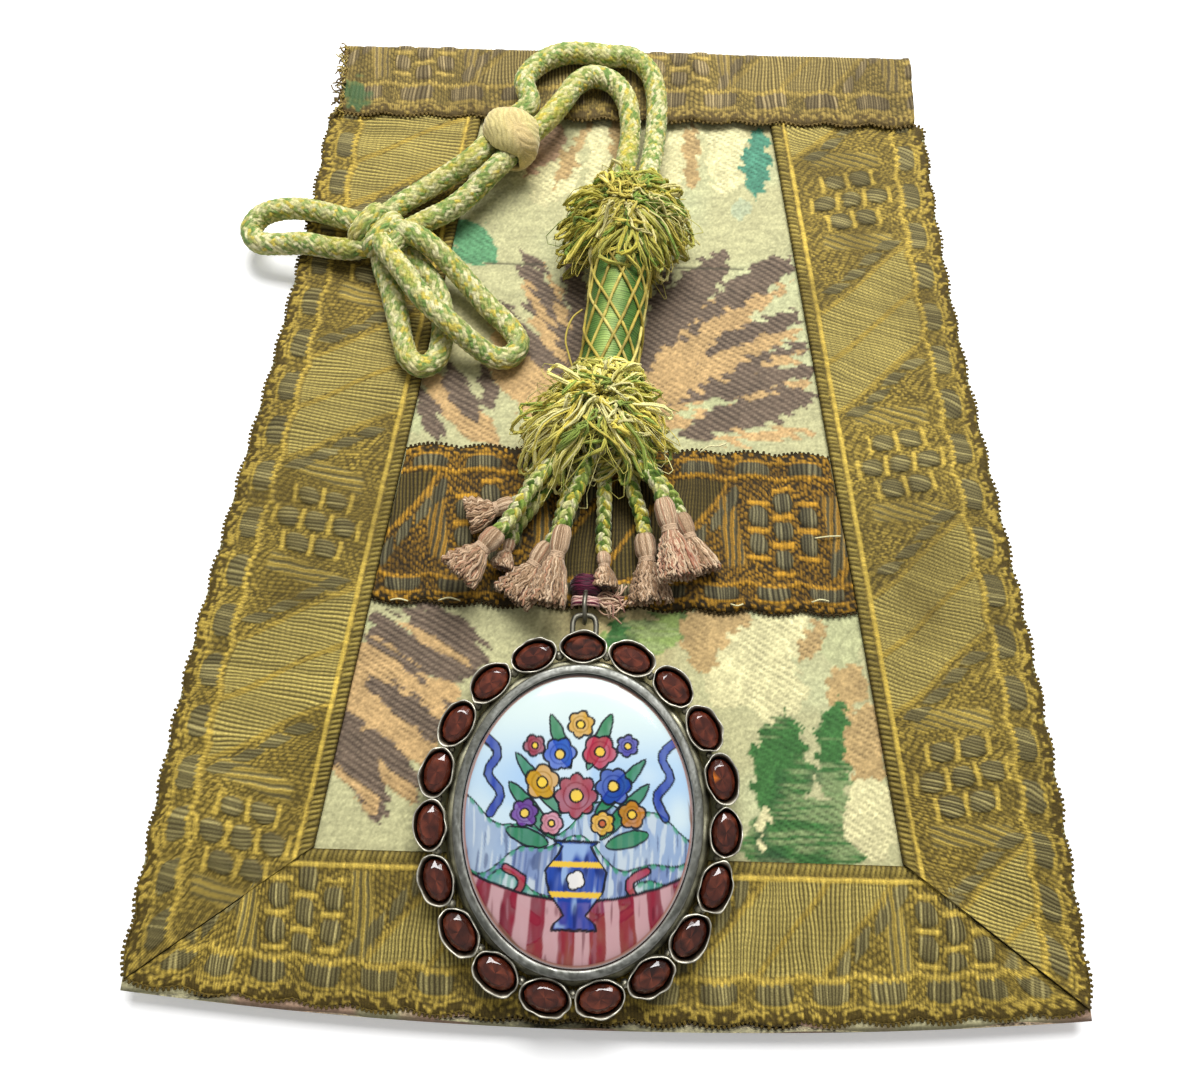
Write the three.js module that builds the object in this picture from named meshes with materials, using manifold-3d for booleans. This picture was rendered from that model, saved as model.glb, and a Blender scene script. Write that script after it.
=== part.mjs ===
// A devotional scapular panel lying on its back: brocade on a stiff board, framed in woven galloon.
// A doubled braided cord with a slide bead and a bow carries a silk tassel, and an oval enamel
// medallion in a collar of collet-set garnets hangs from a jump ring tied to the middle galloon.
// Millimetres. +X to the right of the face, +Y towards its top edge, +Z off the face.
// The origin is in the middle of the panel's back.
import * as THREE from "three";
import { mergeVertices } from "three/addons/utils/BufferGeometryUtils.js";
import Module from "manifold-3d";

// Clearances
const GAP = 0.3; // left between two pieces that touch
const OVERRUN = 1; // by which a cutting solid passes the face it cuts

// Panel
const PANEL_HEIGHT = 209;
const PANEL_TOP_HALF = 67.5;
const PANEL_BOTTOM_HALF = 86;
const SIDE_BOW = 1.8; // how far the long sides swing in near the top and out near the bottom
const BOTTOM_BOW = 4; // how far the corners of the bottom edge lie above its middle
const LINING_THICK = 0.8;
const BOARD_THICK = 2;
const BROCADE_THICK = 0.8;
const BOARD_INSET = 3; // board edge inside the brocade edge
const LINING_INSET = 1.5;
const BROCADE_SHOWS = 1.2; // brocade left showing below the bottom galloon
const EDGE_STEPS = 12; // points along each long edge

// Galloon
const GALLOON_THICK = 0.8;
const TOP_FLAP = 20.5; // front of the top galloon, from its lower edge to the panel's top
const TOP_TURN_UNDER = 14; // its back flap
const FLAP_HALF = 65.6; // half its length, less than the panel's width below it
const SHOULDER = 2.6; // height in which the panel narrows under the flap to fit it
const SIDE_INNER_TOP = 33.2; // inner edge of the side galloons at the top flap
const SIDE_INNER_BOTTOM = 54; // and where they meet the bottom galloon
const BOTTOM_INNER = 75.3; // inner edge of the bottom galloon, below the middle of the panel
const MIDDLE_TOP = 4.5; // top edge of the middle galloon
const MIDDLE_WIDTH = 33.8;
const PICOT_PITCH = 10.2;
const PICOT_DEPTH = 0.9;
const PICOT_STEPS = 4;

// Heights of the panel's layers
const LINING_TOP = LINING_THICK;
const BOARD_BASE = LINING_TOP + GAP;
const BOARD_TOP = BOARD_BASE + BOARD_THICK;
const BROCADE_BASE = BOARD_TOP + GAP;
const BROCADE_TOP = BROCADE_BASE + BROCADE_THICK;
const GALLOON_BASE = BROCADE_TOP + GAP;
const GALLOON_TOP = GALLOON_BASE + GALLOON_THICK;
const FLAP_BASE = GALLOON_TOP + GAP;
const FLAP_TOP = FLAP_BASE + GALLOON_THICK;
const FOLD_OUTER = FLAP_TOP / 2; // outer radius of the fold of galloon over the top edge
const FOLD_INNER = FOLD_OUTER - GALLOON_THICK;
const PANEL_TOP = PANEL_HEIGHT / 2;
const FOLD_Y = PANEL_TOP - FOLD_OUTER; // the panel's layers end here, inside the fold
const PANEL_BOTTOM = -PANEL_HEIGHT / 2;

// Cord
const CORD_DIAMETER = 4.8;
const CORD_SIDES = 8;
const CORD_STEP = CORD_DIAMETER; // short steps, because the bow's loops turn tightly
const STRAND_PITCH = 5.6; // centre to centre where the two strands lie side by side
const CORD_RADIUS = CORD_DIAMETER / 2;

// Slide bead on the doubled cord
const BEAD_DIAMETER = 13.6;
const BEAD_LENGTH = 12.4;
const BEAD_SIDES = 18;
const BEAD_CLEAR = 0.4; // round the two strands in its slot
const BEAD_AT = new THREE.Vector3(-25.2, 74.4, 11.4);
const BEAD_TURN = THREE.MathUtils.degToRad(-129); // the way the cord runs through it
const BEAD_RUN = 9.3; // straight cord on each side of its middle
const SAMPLE_STEPS = 200; // points per strand when the gaps between strands are measured

// Bow knot
const KNOT_AT = new THREE.Vector3(-51.6, 50, 10.2);
const KNOT_HALF = new THREE.Vector3(6.3, 6, 4.9);
const KNOT_RIDGE_SHARE = 0.07;
const KNOT_RIDGES = 5;

// Tassel: its mouth, where the strands go in, is where it swings
const TASSEL_MOUTH = new THREE.Vector3(1.8, 59.5, 12.9);
const TASSEL_TURN = THREE.MathUtils.degToRad(-6);
const SHAFT_DIAMETER = 11.4;
const SHAFT_START = 8; // below the mouth
const SHAFT_LENGTH = 48;
const SHAFT_BULGE = 0.3;
const NET_THREAD = 0.7;
const NET_START = 12;
const NET_LENGTH = 41;
const NET_STEEP = { count: 4, turns: 0.33 }; // threads one way round, and their turns round the shaft
const NET_SLANTED = { count: 3, turns: -0.82 }; // and the other way round
const NET_STEPS = 10;
const NET_SIDES = 4;
const SHAFT_SIDES = 18;
const SHAFT_RINGS = 4;
const RUFF_LOBES = 9;
const RUFF_LOBE_DEPTH = 1.5;
const RUFF_AROUND = 36; // points round the shaft
const UPPER_RUFF_START = 0.6; // below the mouth
const UPPER_RUFF_LENGTH = 21;
const UPPER_RUFF_RADIUS = 12.4;
const UPPER_MOUTH_RADIUS = 7.6;
const RUFF_LAP = 13.5; // how far the lower ruff starts above the shaft's end
const LOWER_RUFF_START = SHAFT_START + SHAFT_LENGTH - RUFF_LAP;
const LOWER_RUFF_LENGTH = 21;
const LOWER_RUFF_RADIUS = 12.6;

// Skirt of the tassel: its cords leave the lower ruff in two rows and lie down in two layers
const SKIRT_CORD = 2.4;
const SKIRT_SIDES = 8;
const SKIRT_STEPS = 6;
const SKIRT_ROOT_HALF = 9; // half the width of the rows of roots
const SKIRT_SPREAD = 24; // the heads of the end tassels lie within this to each side
const SKIRT_REACH = 20; // and within this below the roots
const SKIRT_BEND_SHARE = 0.45; // where a skirt cord starts to come down
const END_TASSEL_LENGTH = 16;
const END_TASSEL_HALF = 4.4; // half the width of its skirt at the end
const END_TASSEL_DEPTH = 4.8;
const END_TASSEL_SIDES = 8;
const END_TASSEL_FLUTE_SHARE = 0.07;

// Medallion, measured from its own centre
const MEDALLION_AT = new THREE.Vector2(-5.6, -68.4);
const STONE_COUNT = 19;
const STONE_RING_X = 26.6;
const STONE_RING_Y = 30.5;
const COLLET_LONG = 4.55; // half length of a collet's rim, along the ring
const COLLET_WIDE = 3.15; // half width
const COLLET_HEIGHT = 5.5;
const COLLET_FLARE_SHARE = 0.8; // foot against rim
const COLLET_WALL = 0.38;
const COLLET_SCALLOP = 0.2;
const COLLET_FLOOR = 2.5;
const COLLET_POINTS = 18;
const COLLET_LOBES = 6;
const COLLET_SEAT = 0.4; // how far a collet's foot stands on the plate's edge
const OVAL_STEPS = 720; // places tried along the oval of stones
const STONE_POINTS = 12;
const STONE_CLEAR = 0.26;
const MOUNT_THICK = 1.2;
const BEZEL_X = 22.35;
const BEZEL_Y = 27;
const BEZEL_HEIGHT = 5.6;
const BEZEL_WALL = 1.2;
const BEZEL_LIP = 2.3; // rim seen from above
const BEZEL_LIP_THICK = 1;
const BEZEL_LEDGE = 2.9; // reach of the shelf under the plaque
const BEZEL_POINTS = 36;
const PLAQUE_THICK = 1;
const PLAQUE_CROWN = 1.8;

// Bail, jump ring and thread tie
const BAIL_REACH = 3.2; // from the collet to the middle of its bar
const BAIL_HALF = 2.2;
const BAIL_WIRE = 1.1;
const BAIL_STEPS = 14;
const RING_RADIUS = 2.95;
const RING_WIRE = 0.9;
const RING_SIDES = 6;
const TIE_WIDTH = 1.6;
const TIE_HALF = 2.9;
const TIE_RIDGES = 9;
const TIE_GROOVE_SHARE = 0.82;

// Heights and places that follow
const MEDALLION_BASE = GALLOON_TOP + GAP;
const COLLET_FOOT = COLLET_WIDE * COLLET_FLARE_SHARE;
const MOUNT_X = STONE_RING_X - COLLET_FOOT + COLLET_SEAT;
const MOUNT_Y = STONE_RING_Y - COLLET_FOOT + COLLET_SEAT;
const BEZEL_BASE = MOUNT_THICK + GAP;
const BEZEL_TOP = BEZEL_BASE + BEZEL_HEIGHT;
const LEDGE_TOP = BEZEL_TOP - BEZEL_LIP_THICK - PLAQUE_THICK - 2 * GAP;
const RING_CLEAR = GAP; // ring wire against the bail's bar and the tie
const BAIL_Y = STONE_RING_Y + COLLET_WIDE + BAIL_REACH; // bar of the bail, from the medallion's centre
const RING_HEIGHT = MEDALLION_BASE + RING_RADIUS + RING_WIRE / 2;
const RING_Y = BAIL_Y - BAIL_WIRE / 2 - RING_CLEAR - RING_WIRE / 2 + RING_RADIUS;
const TIE_Y = RING_Y + RING_RADIUS - RING_WIRE / 2 - RING_CLEAR - TIE_WIDTH / 2;

// Solids

const wasm = await Module();
wasm.setup();

// Signed volume of an indexed geometry: positive when its faces point out.
function signedVolume(geometry) {
  const { array } = geometry.attributes.position;
  const corner = (index) => new THREE.Vector3().fromArray(array, 3 * index);
  const index = geometry.index.array;
  let volume = 0;
  for (let i = 0; i < index.length; i += 3) {
    const [a, b, c] = [corner(index[i]), corner(index[i + 1]), corner(index[i + 2])];
    volume += a.dot(b.cross(c)) / 6;
  }
  return volume;
}

function facingOut(geometry) {
  if (signedVolume(geometry) > 0) return geometry;
  const index = geometry.index.array;
  for (let i = 0; i < index.length; i += 3) [index[i + 1], index[i + 2]] = [index[i + 2], index[i + 1]];
  return geometry;
}

// Only the positions count for a solid, and corners that coincide are one corner.
function closed(geometry) {
  const bare = geometry.clone();
  bare.deleteAttribute("normal");
  bare.deleteAttribute("uv");
  return facingOut(mergeVertices(bare));
}

function toSolid(geometry) {
  const merged = closed(geometry);
  const vertProperties = new Float32Array(merged.attributes.position.array);
  const triVerts = new Uint32Array(merged.index.array);
  return new wasm.Manifold(new wasm.Mesh({ numProp: 3, vertProperties, triVerts }));
}

function fromSolid(solid) {
  const { vertProperties, triVerts } = solid.getMesh();
  const geometry = new THREE.BufferGeometry();
  geometry.setAttribute("position", new THREE.BufferAttribute(new Float32Array(vertProperties), 3));
  geometry.setIndex(new THREE.BufferAttribute(new Uint32Array(triVerts), 1));
  return geometry;
}

const joined = (geometries) =>
  fromSolid(geometries.map(toSolid).reduce((whole, piece) => whole.add(piece)));

// Skin over rings of equal point counts. With closedUp the last ring meets the first, and
// otherwise each end is closed by a fan about its middle.
function loft(rings, closedUp = false) {
  const count = rings[0].length;
  const points = rings.flat();
  const faces = [];
  const bands = closedUp ? rings.length : rings.length - 1;
  for (let band = 0; band < bands; band++) {
    const here = band * count;
    const next = ((band + 1) % rings.length) * count;
    for (let i = 0; i < count; i++) {
      const j = (i + 1) % count;
      faces.push(here + i, here + j, next + j, here + i, next + j, next + i);
    }
  }
  const cap = (ring, first, turned) => {
    const middle = ring.reduce((sum, p) => sum.add(p), new THREE.Vector3()).divideScalar(count);
    points.push(middle);
    for (let i = 0; i < count; i++) {
      const pair = [first + i, first + ((i + 1) % count)];
      if (turned) pair.reverse();
      faces.push(points.length - 1, ...pair);
    }
  };
  if (!closedUp) {
    cap(rings[0], 0, true);
    cap(rings.at(-1), (rings.length - 1) * count, false);
  }
  const geometry = new THREE.BufferGeometry().setFromPoints(points);
  geometry.setIndex(new THREE.BufferAttribute(new Uint32Array(faces), 1));
  return facingOut(geometry);
}

function slab(outline, base, thickness) {
  const shape = new THREE.Shape(outline);
  const geometry = new THREE.ExtrudeGeometry(shape, { depth: thickness, bevelEnabled: false });
  return geometry.translate(0, 0, base);
}

const around = (count) => Array.from({ length: count }, (_, i) => (2 * Math.PI * i) / count);

function disc(radius, sides) {
  return new THREE.Shape(
    around(sides).map((a) => new THREE.Vector2(radius * Math.cos(a), radius * Math.sin(a))),
  );
}

const curveThrough = (points) => new THREE.CatmullRomCurve3(points, false, "centripetal");

// A round bar along a smooth curve through the points.
function tube(points, diameter, sides, count) {
  return new THREE.ExtrudeGeometry(disc(diameter / 2, sides), {
    steps: count,
    extrudePath: curveThrough(points),
    bevelEnabled: false,
  });
}

const scapular = new THREE.Group();

function addPiece(parent, name, geometry, material) {
  const mesh = new THREE.Mesh(closed(geometry), material.clone());
  mesh.name = name;
  mesh.geometry.computeVertexNormals();
  parent.add(mesh);
  return mesh;
}

const finish = (color, roughness, metalness = 0) =>
  new THREE.MeshStandardMaterial({ color, roughness, metalness });

const LININGS = finish(0x8d7f5a, 0.95);
const BOARDS = finish(0x9a8a6c, 0.95);
const BROCADES = finish(0xb3ad86, 0.85);
const GALLOONS = finish(0x8a7434, 0.7, 0.2);
const CORDS = finish(0xb9bd84, 0.9);
const SILKS = finish(0x8f9a3a, 0.7);
const RUFFS = finish(0xa9a84f, 0.9);
const ROSES = finish(0xb98a76, 0.9);
const STRAWS = finish(0xb8a981, 0.9);
const DARK_THREADS = finish(0x4a1620, 0.9);
const SILVERS = finish(0x9a9790, 0.35, 1);
const ENAMELS = finish(0xd7e3ea, 0.1);
const GARNETS = finish(0x5a1710, 0.08);

// Outline of the panel

const mix = THREE.MathUtils.lerp;

// Half width of the panel at a height, with the slight swing of its cut sides.
function sideX(y) {
  const share = (y - PANEL_BOTTOM) / PANEL_HEIGHT;
  return mix(PANEL_BOTTOM_HALF, PANEL_TOP_HALF, share) + SIDE_BOW * Math.sin(2 * Math.PI * share);
}

const bottomY = (x) => PANEL_BOTTOM + BOTTOM_BOW * (x / PANEL_BOTTOM_HALF) ** 2;
const cornerY = bottomY(PANEL_BOTTOM_HALF);

const steps = (count) => Array.from({ length: count + 1 }, (_, i) => i / count);

// From the top flap's lower edge up the sides step in, so that nothing shows beyond the flap.
const flapLow = PANEL_TOP - TOP_FLAP;
const shoulders = (inset, top) =>
  [flapLow + SHOULDER, top].map((y) => new THREE.Vector2(FLAP_HALF - PICOT_DEPTH - inset, y));

// The panel's shape drawn in by inset at the sides and the bottom, cut straight at top.
function panelOutline(inset, top) {
  const low = cornerY + inset;
  const right = steps(EDGE_STEPS).map((s) => {
    const y = mix(low, flapLow, s);
    return new THREE.Vector2(sideX(y) - inset, y);
  });
  right.push(...shoulders(inset, top));
  const left = right.map((p) => new THREE.Vector2(-p.x, p.y)).reverse();
  const bottom = steps(EDGE_STEPS)
    .slice(1, -1)
    .map((s) => {
      const x = mix(left.at(-1).x, right[0].x, s);
      return new THREE.Vector2(x, bottomY(x) + inset);
    });
  return [...right, ...left, ...bottom];
}

// A line of scallops from one point to another, bulging to the right of the way it runs.
function scallops(from, to, along = (s) => from.clone().lerp(to, s)) {
  const count = Math.round(from.distanceTo(to) / PICOT_PITCH);
  const points = [];
  for (let i = 0; i < count; i++) {
    for (let k = 0; k < PICOT_STEPS; k++) {
      const s = (i + k / PICOT_STEPS) / count;
      const ahead = along(Math.min(1, s + 1 / count));
      const way = ahead.sub(along(s)).normalize();
      const out = new THREE.Vector2(way.y, -way.x);
      const bulge = PICOT_DEPTH * Math.sin((Math.PI * k) / PICOT_STEPS);
      points.push(along(s).add(out.multiplyScalar(bulge)));
    }
  }
  return points;
}

// Panel layers and galloon

function addPanel() {
  const backTop = FOLD_Y - TOP_TURN_UNDER - GAP;
  addPiece(scapular, "back_lining", slab(panelOutline(LINING_INSET, backTop), 0, LINING_THICK), LININGS);
  const board = slab(panelOutline(BOARD_INSET, FOLD_Y), BOARD_BASE, BOARD_THICK);
  addPiece(scapular, "core_board", board, BOARDS);
  const brocade = slab(panelOutline(0, FOLD_Y), BROCADE_BASE, BROCADE_THICK);
  addPiece(scapular, "front_brocade", brocade, BROCADES);
}

const galloonBottomY = (x) => bottomY(x) + BROCADE_SHOWS + PICOT_DEPTH;
const sideInnerX = (y) =>
  mix(SIDE_INNER_BOTTOM, SIDE_INNER_TOP, (y + BOTTOM_INNER) / (flapLow + BOTTOM_INNER));

// Ends of the mitre between a side galloon and the bottom galloon, on the right.
const mitreInner = new THREE.Vector2(SIDE_INNER_BOTTOM, -BOTTOM_INNER);
const mitreOuterX = PANEL_BOTTOM_HALF - PICOT_DEPTH;
const mitreOuter = new THREE.Vector2(mitreOuterX, galloonBottomY(mitreOuterX));

function sideGalloonOutline() {
  const outerX = (y) => sideX(y) - PICOT_DEPTH;
  const outerTop = new THREE.Vector2(outerX(flapLow), flapLow);
  const alongSide = (s) => {
    const y = mix(mitreOuter.y, flapLow, s);
    return new THREE.Vector2(mix(mitreOuter.x, outerX(y), Math.min(1, s * EDGE_STEPS)), y);
  };
  const innerTop = new THREE.Vector2(sideInnerX(FOLD_Y), FOLD_Y);
  const head = shoulders(0, FOLD_Y);
  return [...scallops(mitreOuter, outerTop, alongSide), outerTop, ...head, innerTop, mitreInner];
}

function bottomGalloonOutline() {
  const way = mitreOuter.clone().sub(mitreInner).normalize();
  const shift = new THREE.Vector2(way.y, -way.x).multiplyScalar(GAP);
  const inner = mitreInner.clone().add(shift);
  const outer = mitreOuter.clone().add(shift);
  const mirrored = (p) => new THREE.Vector2(-p.x, p.y);
  const alongBottom = (s) => {
    const x = mix(-outer.x, outer.x, s);
    return new THREE.Vector2(x, galloonBottomY(x));
  };
  return [...scallops(mirrored(outer), outer, alongBottom), outer, inner, mirrored(inner)];
}

function middleGalloonOutline() {
  const low = MIDDLE_TOP - MIDDLE_WIDTH;
  const lowX = sideInnerX(low) - GAP;
  const topX = sideInnerX(MIDDLE_TOP) - GAP;
  const lowEnds = [-lowX, lowX].map((x) => new THREE.Vector2(x, low + PICOT_DEPTH));
  const topEnds = [topX, -topX].map((x) => new THREE.Vector2(x, MIDDLE_TOP - PICOT_DEPTH));
  return [...scallops(...lowEnds), lowEnds[1], ...scallops(...topEnds), topEnds[1]];
}

// The top galloon lies on the front, turns over the top edge and runs a little way down the back.
function topGalloon() {
  const low = flapLow + PICOT_DEPTH;
  const ends = [-FLAP_HALF, FLAP_HALF].map((x) => new THREE.Vector2(x, low));
  const foldEnds = [FLAP_HALF, -FLAP_HALF].map((x) => new THREE.Vector2(x, FOLD_Y));
  const outline = [...scallops(...ends), ends[1], ...foldEnds];
  const flap = slab(outline, FLAP_BASE, GALLOON_THICK);
  const profile = new THREE.Shape();
  profile.moveTo(FOLD_Y - TOP_TURN_UNDER, 0);
  profile.lineTo(FOLD_Y, 0);
  profile.absarc(FOLD_Y, FOLD_OUTER, FOLD_OUTER, -Math.PI / 2, Math.PI / 2, false);
  profile.lineTo(FOLD_Y - OVERRUN, FLAP_TOP);
  profile.lineTo(FOLD_Y - OVERRUN, FLAP_BASE);
  profile.lineTo(FOLD_Y, FLAP_BASE);
  profile.absarc(FOLD_Y, FOLD_OUTER, FOLD_INNER, Math.PI / 2, -Math.PI / 2, true);
  profile.lineTo(FOLD_Y - TOP_TURN_UNDER, GALLOON_THICK);
  const fold = new THREE.ExtrudeGeometry(profile, {
    depth: 2 * FLAP_HALF,
    bevelEnabled: false,
    curveSegments: EDGE_STEPS,
  });
  // The profile is drawn in Y and Z, so its X, Y and depth turn to the panel's Y, Z and X.
  fold.applyMatrix4(
    new THREE.Matrix4().set(0, 0, 1, -FLAP_HALF, 1, 0, 0, 0, 0, 1, 0, 0, 0, 0, 0, 1),
  );
  return joined([flap, fold]);
}

function addGalloon() {
  const right = sideGalloonOutline();
  const outlines = {
    galloon_left: right.map((p) => new THREE.Vector2(-p.x, p.y)).reverse(),
    galloon_right: right,
    galloon_bottom: bottomGalloonOutline(),
    galloon_middle: middleGalloonOutline(),
  };
  for (const [name, outline] of Object.entries(outlines)) {
    addPiece(scapular, name, slab(outline, GALLOON_BASE, GALLOON_THICK), GALLOONS);
  }
  addPiece(scapular, "galloon_top", topGalloon(), GALLOONS);
}

// Cord, bead and bow

const point = ([x, y, z]) => new THREE.Vector3(x, y, z);
const beadWay = new THREE.Vector3(Math.cos(BEAD_TURN), Math.sin(BEAD_TURN), 0);
const beadSide = new THREE.Vector3(beadWay.y, -beadWay.x, 0); // towards the outer strand

// The straight stretch of a strand through the bead; side is 1 for the outer strand.
function throughBead(side) {
  const middle = BEAD_AT.clone().addScaledVector(beadSide, (side * STRAND_PITCH) / 2);
  return [-1, -0.5, 0, 0.5, 1].map((s) => middle.clone().addScaledVector(beadWay, s * BEAD_RUN));
}

// Routes of the cord, chosen by eye along the way it lies.
const OUTER_RISE = [
  [4.5, 59.2, 12.9], [5, 63.5, 12.7], [5.6, 69, 11.2], [6.4, 75.5, 9.3], [6.9, 82, 9.1],
  [6.6, 89, 9.1], [4.9, 95, 9.1], [0.8, 98.5, 9.1], [-4.4, 99, 9.1], [-9.8, 99.6, 9.1],
  [-15, 99.2, 9.1], [-20.2, 96, 9.5], [-23, 90.2, 10.6],
].map(point);
const OUTER_FALL = [
  [-37.6, 66.4, 9.9], [-43.2, 62.6, 9], [-48.9, 58.2, 9], [-53, 53.4, 9.4], [-53.4, 50.6, 9.8],
].map(point);
const INNER_RISE = [
  [-0.9, 59.2, 12.9], [-0.4, 63.5, 12.7], [0.3, 69, 11.2], [0.9, 75.5, 9.3], [1, 81.5, 9.1],
  [-0.2, 87.3, 9.1], [-3.4, 91.8, 9.1], [-8, 93.1, 9.2], [-11.6, 90.2, 9.8], [-13.8, 85.6, 10.8],
].map(point);
const INNER_FALL = [
  [-33.2, 61.3, 9.9], [-38.4, 57, 9], [-43.6, 54, 8.9], [-48.4, 51, 9.2], [-51, 49.8, 9.6],
].map(point);
const LOOP_LEFT = [
  [-52, 51.4, 9.8], [-57.4, 53.4, 9.3], [-63, 55.6, 8.4], [-69, 57.2, 8.1], [-75.3, 57.6, 7.3],
  [-79.9, 56.4, 6.3], [-81.7, 53.3, 5.8], [-79.8, 50.2, 6], [-74.6, 49.3, 6.9], [-68.6, 48.8, 8.1],
  [-63, 47.7, 8.4], [-57.4, 47, 9.3], [-52, 48.6, 9.8],
].map(point);
const LOOP_LOWER_LEFT = [
  [-51.6, 49, 9], [-51.5, 44.4, 8.2], [-49.5, 38.8, 8.1], [-47.2, 31.8, 8.1], [-45.5, 25.6, 8.1],
  [-43.9, 21.9, 8.1], [-41.1, 20.4, 7.8], [-38.5, 22.4, 7.5], [-37.6, 27, 7.3], [-37.9, 33, 7.4],
  [-39.5, 38.4, 8.1], [-43.2, 43.4, 8.1], [-46.9, 46.7, 8.2], [-50.6, 49, 9],
].map(point);
const LOOP_LOWER_RIGHT = [
  [-51.8, 48.4, 11.6], [-49.5, 44.4, 13.2], [-46.4, 40.2, 13.7], [-42.6, 35.2, 13.7],
  [-38.7, 31, 13.5], [-34.6, 27.6, 12.5], [-30.2, 24.8, 9.6], [-26.2, 23.1, 7.5], [-22.9, 23.6, 7.1],
  [-21.4, 26.5, 7.1], [-23.6, 30.4, 7.1], [-28, 34.6, 7.7], [-32.6, 39.4, 9], [-37.2, 43.8, 10.9],
  [-41.3, 46.8, 12.5], [-45.3, 48.8, 12.9], [-50, 50.4, 11.6],
].map(point);

function cordAlong(route) {
  const count = Math.round(curveThrough(route).getLength() / CORD_STEP);
  return tube(route, CORD_DIAMETER, CORD_SIDES, count);
}

// A rounded knot whose surface swells in slanting ridges, as wraps of doubled cord do.
function knotSurface(grow) {
  const half = KNOT_HALF.clone().addScalar(grow);
  const rings = steps(EDGE_STEPS)
    .slice(1, -1)
    .map((s) =>
      around(2 * EDGE_STEPS).map((a) => {
        const tilt = Math.PI * s;
        const wave = Math.abs(Math.sin((KNOT_RIDGES * (a + tilt)) / 2));
        const across = half.clone().multiplyScalar(1 - KNOT_RIDGE_SHARE * wave * Math.sin(tilt));
        return new THREE.Vector3(
          across.x * Math.sin(tilt) * Math.cos(a),
          across.y * Math.sin(tilt) * Math.sin(a),
          half.z * Math.cos(tilt),
        ).add(KNOT_AT);
      }),
    );
  return loft(rings);
}

function beadGeometry() {
  const half = BEAD_LENGTH / 2;
  const profile = steps(BEAD_SIDES / 2).map((s) => {
    const a = Math.PI * (s - 1 / 2);
    return new THREE.Vector2((BEAD_DIAMETER / 2) * Math.cos(a), half * Math.sin(a));
  });
  profile[0].x = 0;
  profile.at(-1).x = 0;
  const ball = new THREE.LatheGeometry(profile, BEAD_SIDES);
  const slotRadius = CORD_RADIUS + BEAD_CLEAR;
  const slot = new THREE.Shape();
  slot.absarc(STRAND_PITCH / 2, 0, slotRadius, -Math.PI / 2, Math.PI / 2, false);
  slot.absarc(-STRAND_PITCH / 2, 0, slotRadius, Math.PI / 2, (3 * Math.PI) / 2, false);
  const depth = BEAD_LENGTH + 2 * OVERRUN;
  const options = { depth, bevelEnabled: false, curveSegments: BEAD_SIDES / 3 };
  const cutter = new THREE.ExtrudeGeometry(slot, options);
  cutter.translate(0, 0, -depth / 2).rotateX(Math.PI / 2);
  return fromSolid(toSolid(ball).subtract(toSolid(cutter)));
}

// Points along a route outside the knot, each with its distance along the route.
function samples(route) {
  const curve = curveThrough(route);
  const length = curve.getLength();
  return curve
    .getSpacedPoints(SAMPLE_STEPS)
    .map((at, i) => ({ at, along: (length * i) / SAMPLE_STEPS }))
    .filter(({ at }) => at.distanceTo(KNOT_AT) > KNOT_HALF.x + CORD_RADIUS);
}

// Least distance between the surfaces of two cord routes, or of a route and itself where it
// comes back beside itself, measured on points.
function leastGap(routeA, routeB) {
  const [a, b] = [samples(routeA), samples(routeB)];
  let least = Infinity;
  for (const p of a) {
    for (const q of b) {
      const near = routeA === routeB && Math.abs(p.along - q.along) < 2 * CORD_DIAMETER;
      if (!near) least = Math.min(least, p.at.distanceTo(q.at) - CORD_DIAMETER);
    }
  }
  return least;
}

function addCord() {
  const knot = knotSurface(0);
  const socket = toSolid(knotSurface(GAP));
  const routes = {
    cord_strand_outer: [...OUTER_RISE, ...throughBead(1), ...OUTER_FALL],
    cord_strand_inner: [...INNER_RISE, ...throughBead(-1), ...INNER_FALL],
    bow_loop_left: LOOP_LEFT,
    bow_loop_lower_left: LOOP_LOWER_LEFT,
    bow_loop_lower_right: LOOP_LOWER_RIGHT,
  };
  for (const [name, route] of Object.entries(routes)) {
    const cord = toSolid(cordAlong(route)).subtract(socket);
    addPiece(scapular, name, fromSolid(cord), CORDS);
  }
  addPiece(scapular, "bow_knot", knot, CORDS);
  const names = Object.keys(routes);
  names.forEach((a, i) =>
    names.slice(i).forEach((b) => {
      console.log(`least gap ${a} to ${b}: ${leastGap(routes[a], routes[b]).toFixed(2)} mm`);
    }),
  );
  const bead = addPiece(scapular, "slide_bead", beadGeometry(), STRAWS);
  bead.position.copy(BEAD_AT);
  bead.rotation.z = BEAD_TURN - Math.PI / 2;
}

// Tassel, in its own frame: the mouth at the origin and the shaft running down -Y

const tassel = new THREE.Group();
tassel.position.copy(TASSEL_MOUTH);
tassel.rotation.z = TASSEL_TURN;
const shaftRadius = SHAFT_DIAMETER / 2;

// The silk shaft with its crossed net threads lying on it.
function shaftGeometry() {
  const profile = [new THREE.Vector2(0, -SHAFT_START)];
  for (const s of steps(SHAFT_RINGS)) {
    const r = shaftRadius - SHAFT_BULGE + SHAFT_BULGE * Math.sin(Math.PI * s);
    profile.push(new THREE.Vector2(r, -SHAFT_START - s * SHAFT_LENGTH));
  }
  profile.push(new THREE.Vector2(0, -SHAFT_START - SHAFT_LENGTH));
  const core = new THREE.LatheGeometry(profile, SHAFT_SIDES);
  const pieces = [core];
  for (const { count, turns } of [NET_STEEP, NET_SLANTED]) {
    for (let i = 0; i < count; i++) {
      const thread = steps(NET_STEPS).map((s) => {
        const a = 2 * Math.PI * (i / count + turns * s);
        return new THREE.Vector3(
          shaftRadius * Math.cos(a),
          -NET_START - s * NET_LENGTH,
          shaftRadius * Math.sin(a),
        );
      });
      pieces.push(tube(thread, NET_THREAD, NET_SIDES, NET_STEPS));
    }
  }
  return joined(pieces);
}

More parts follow.
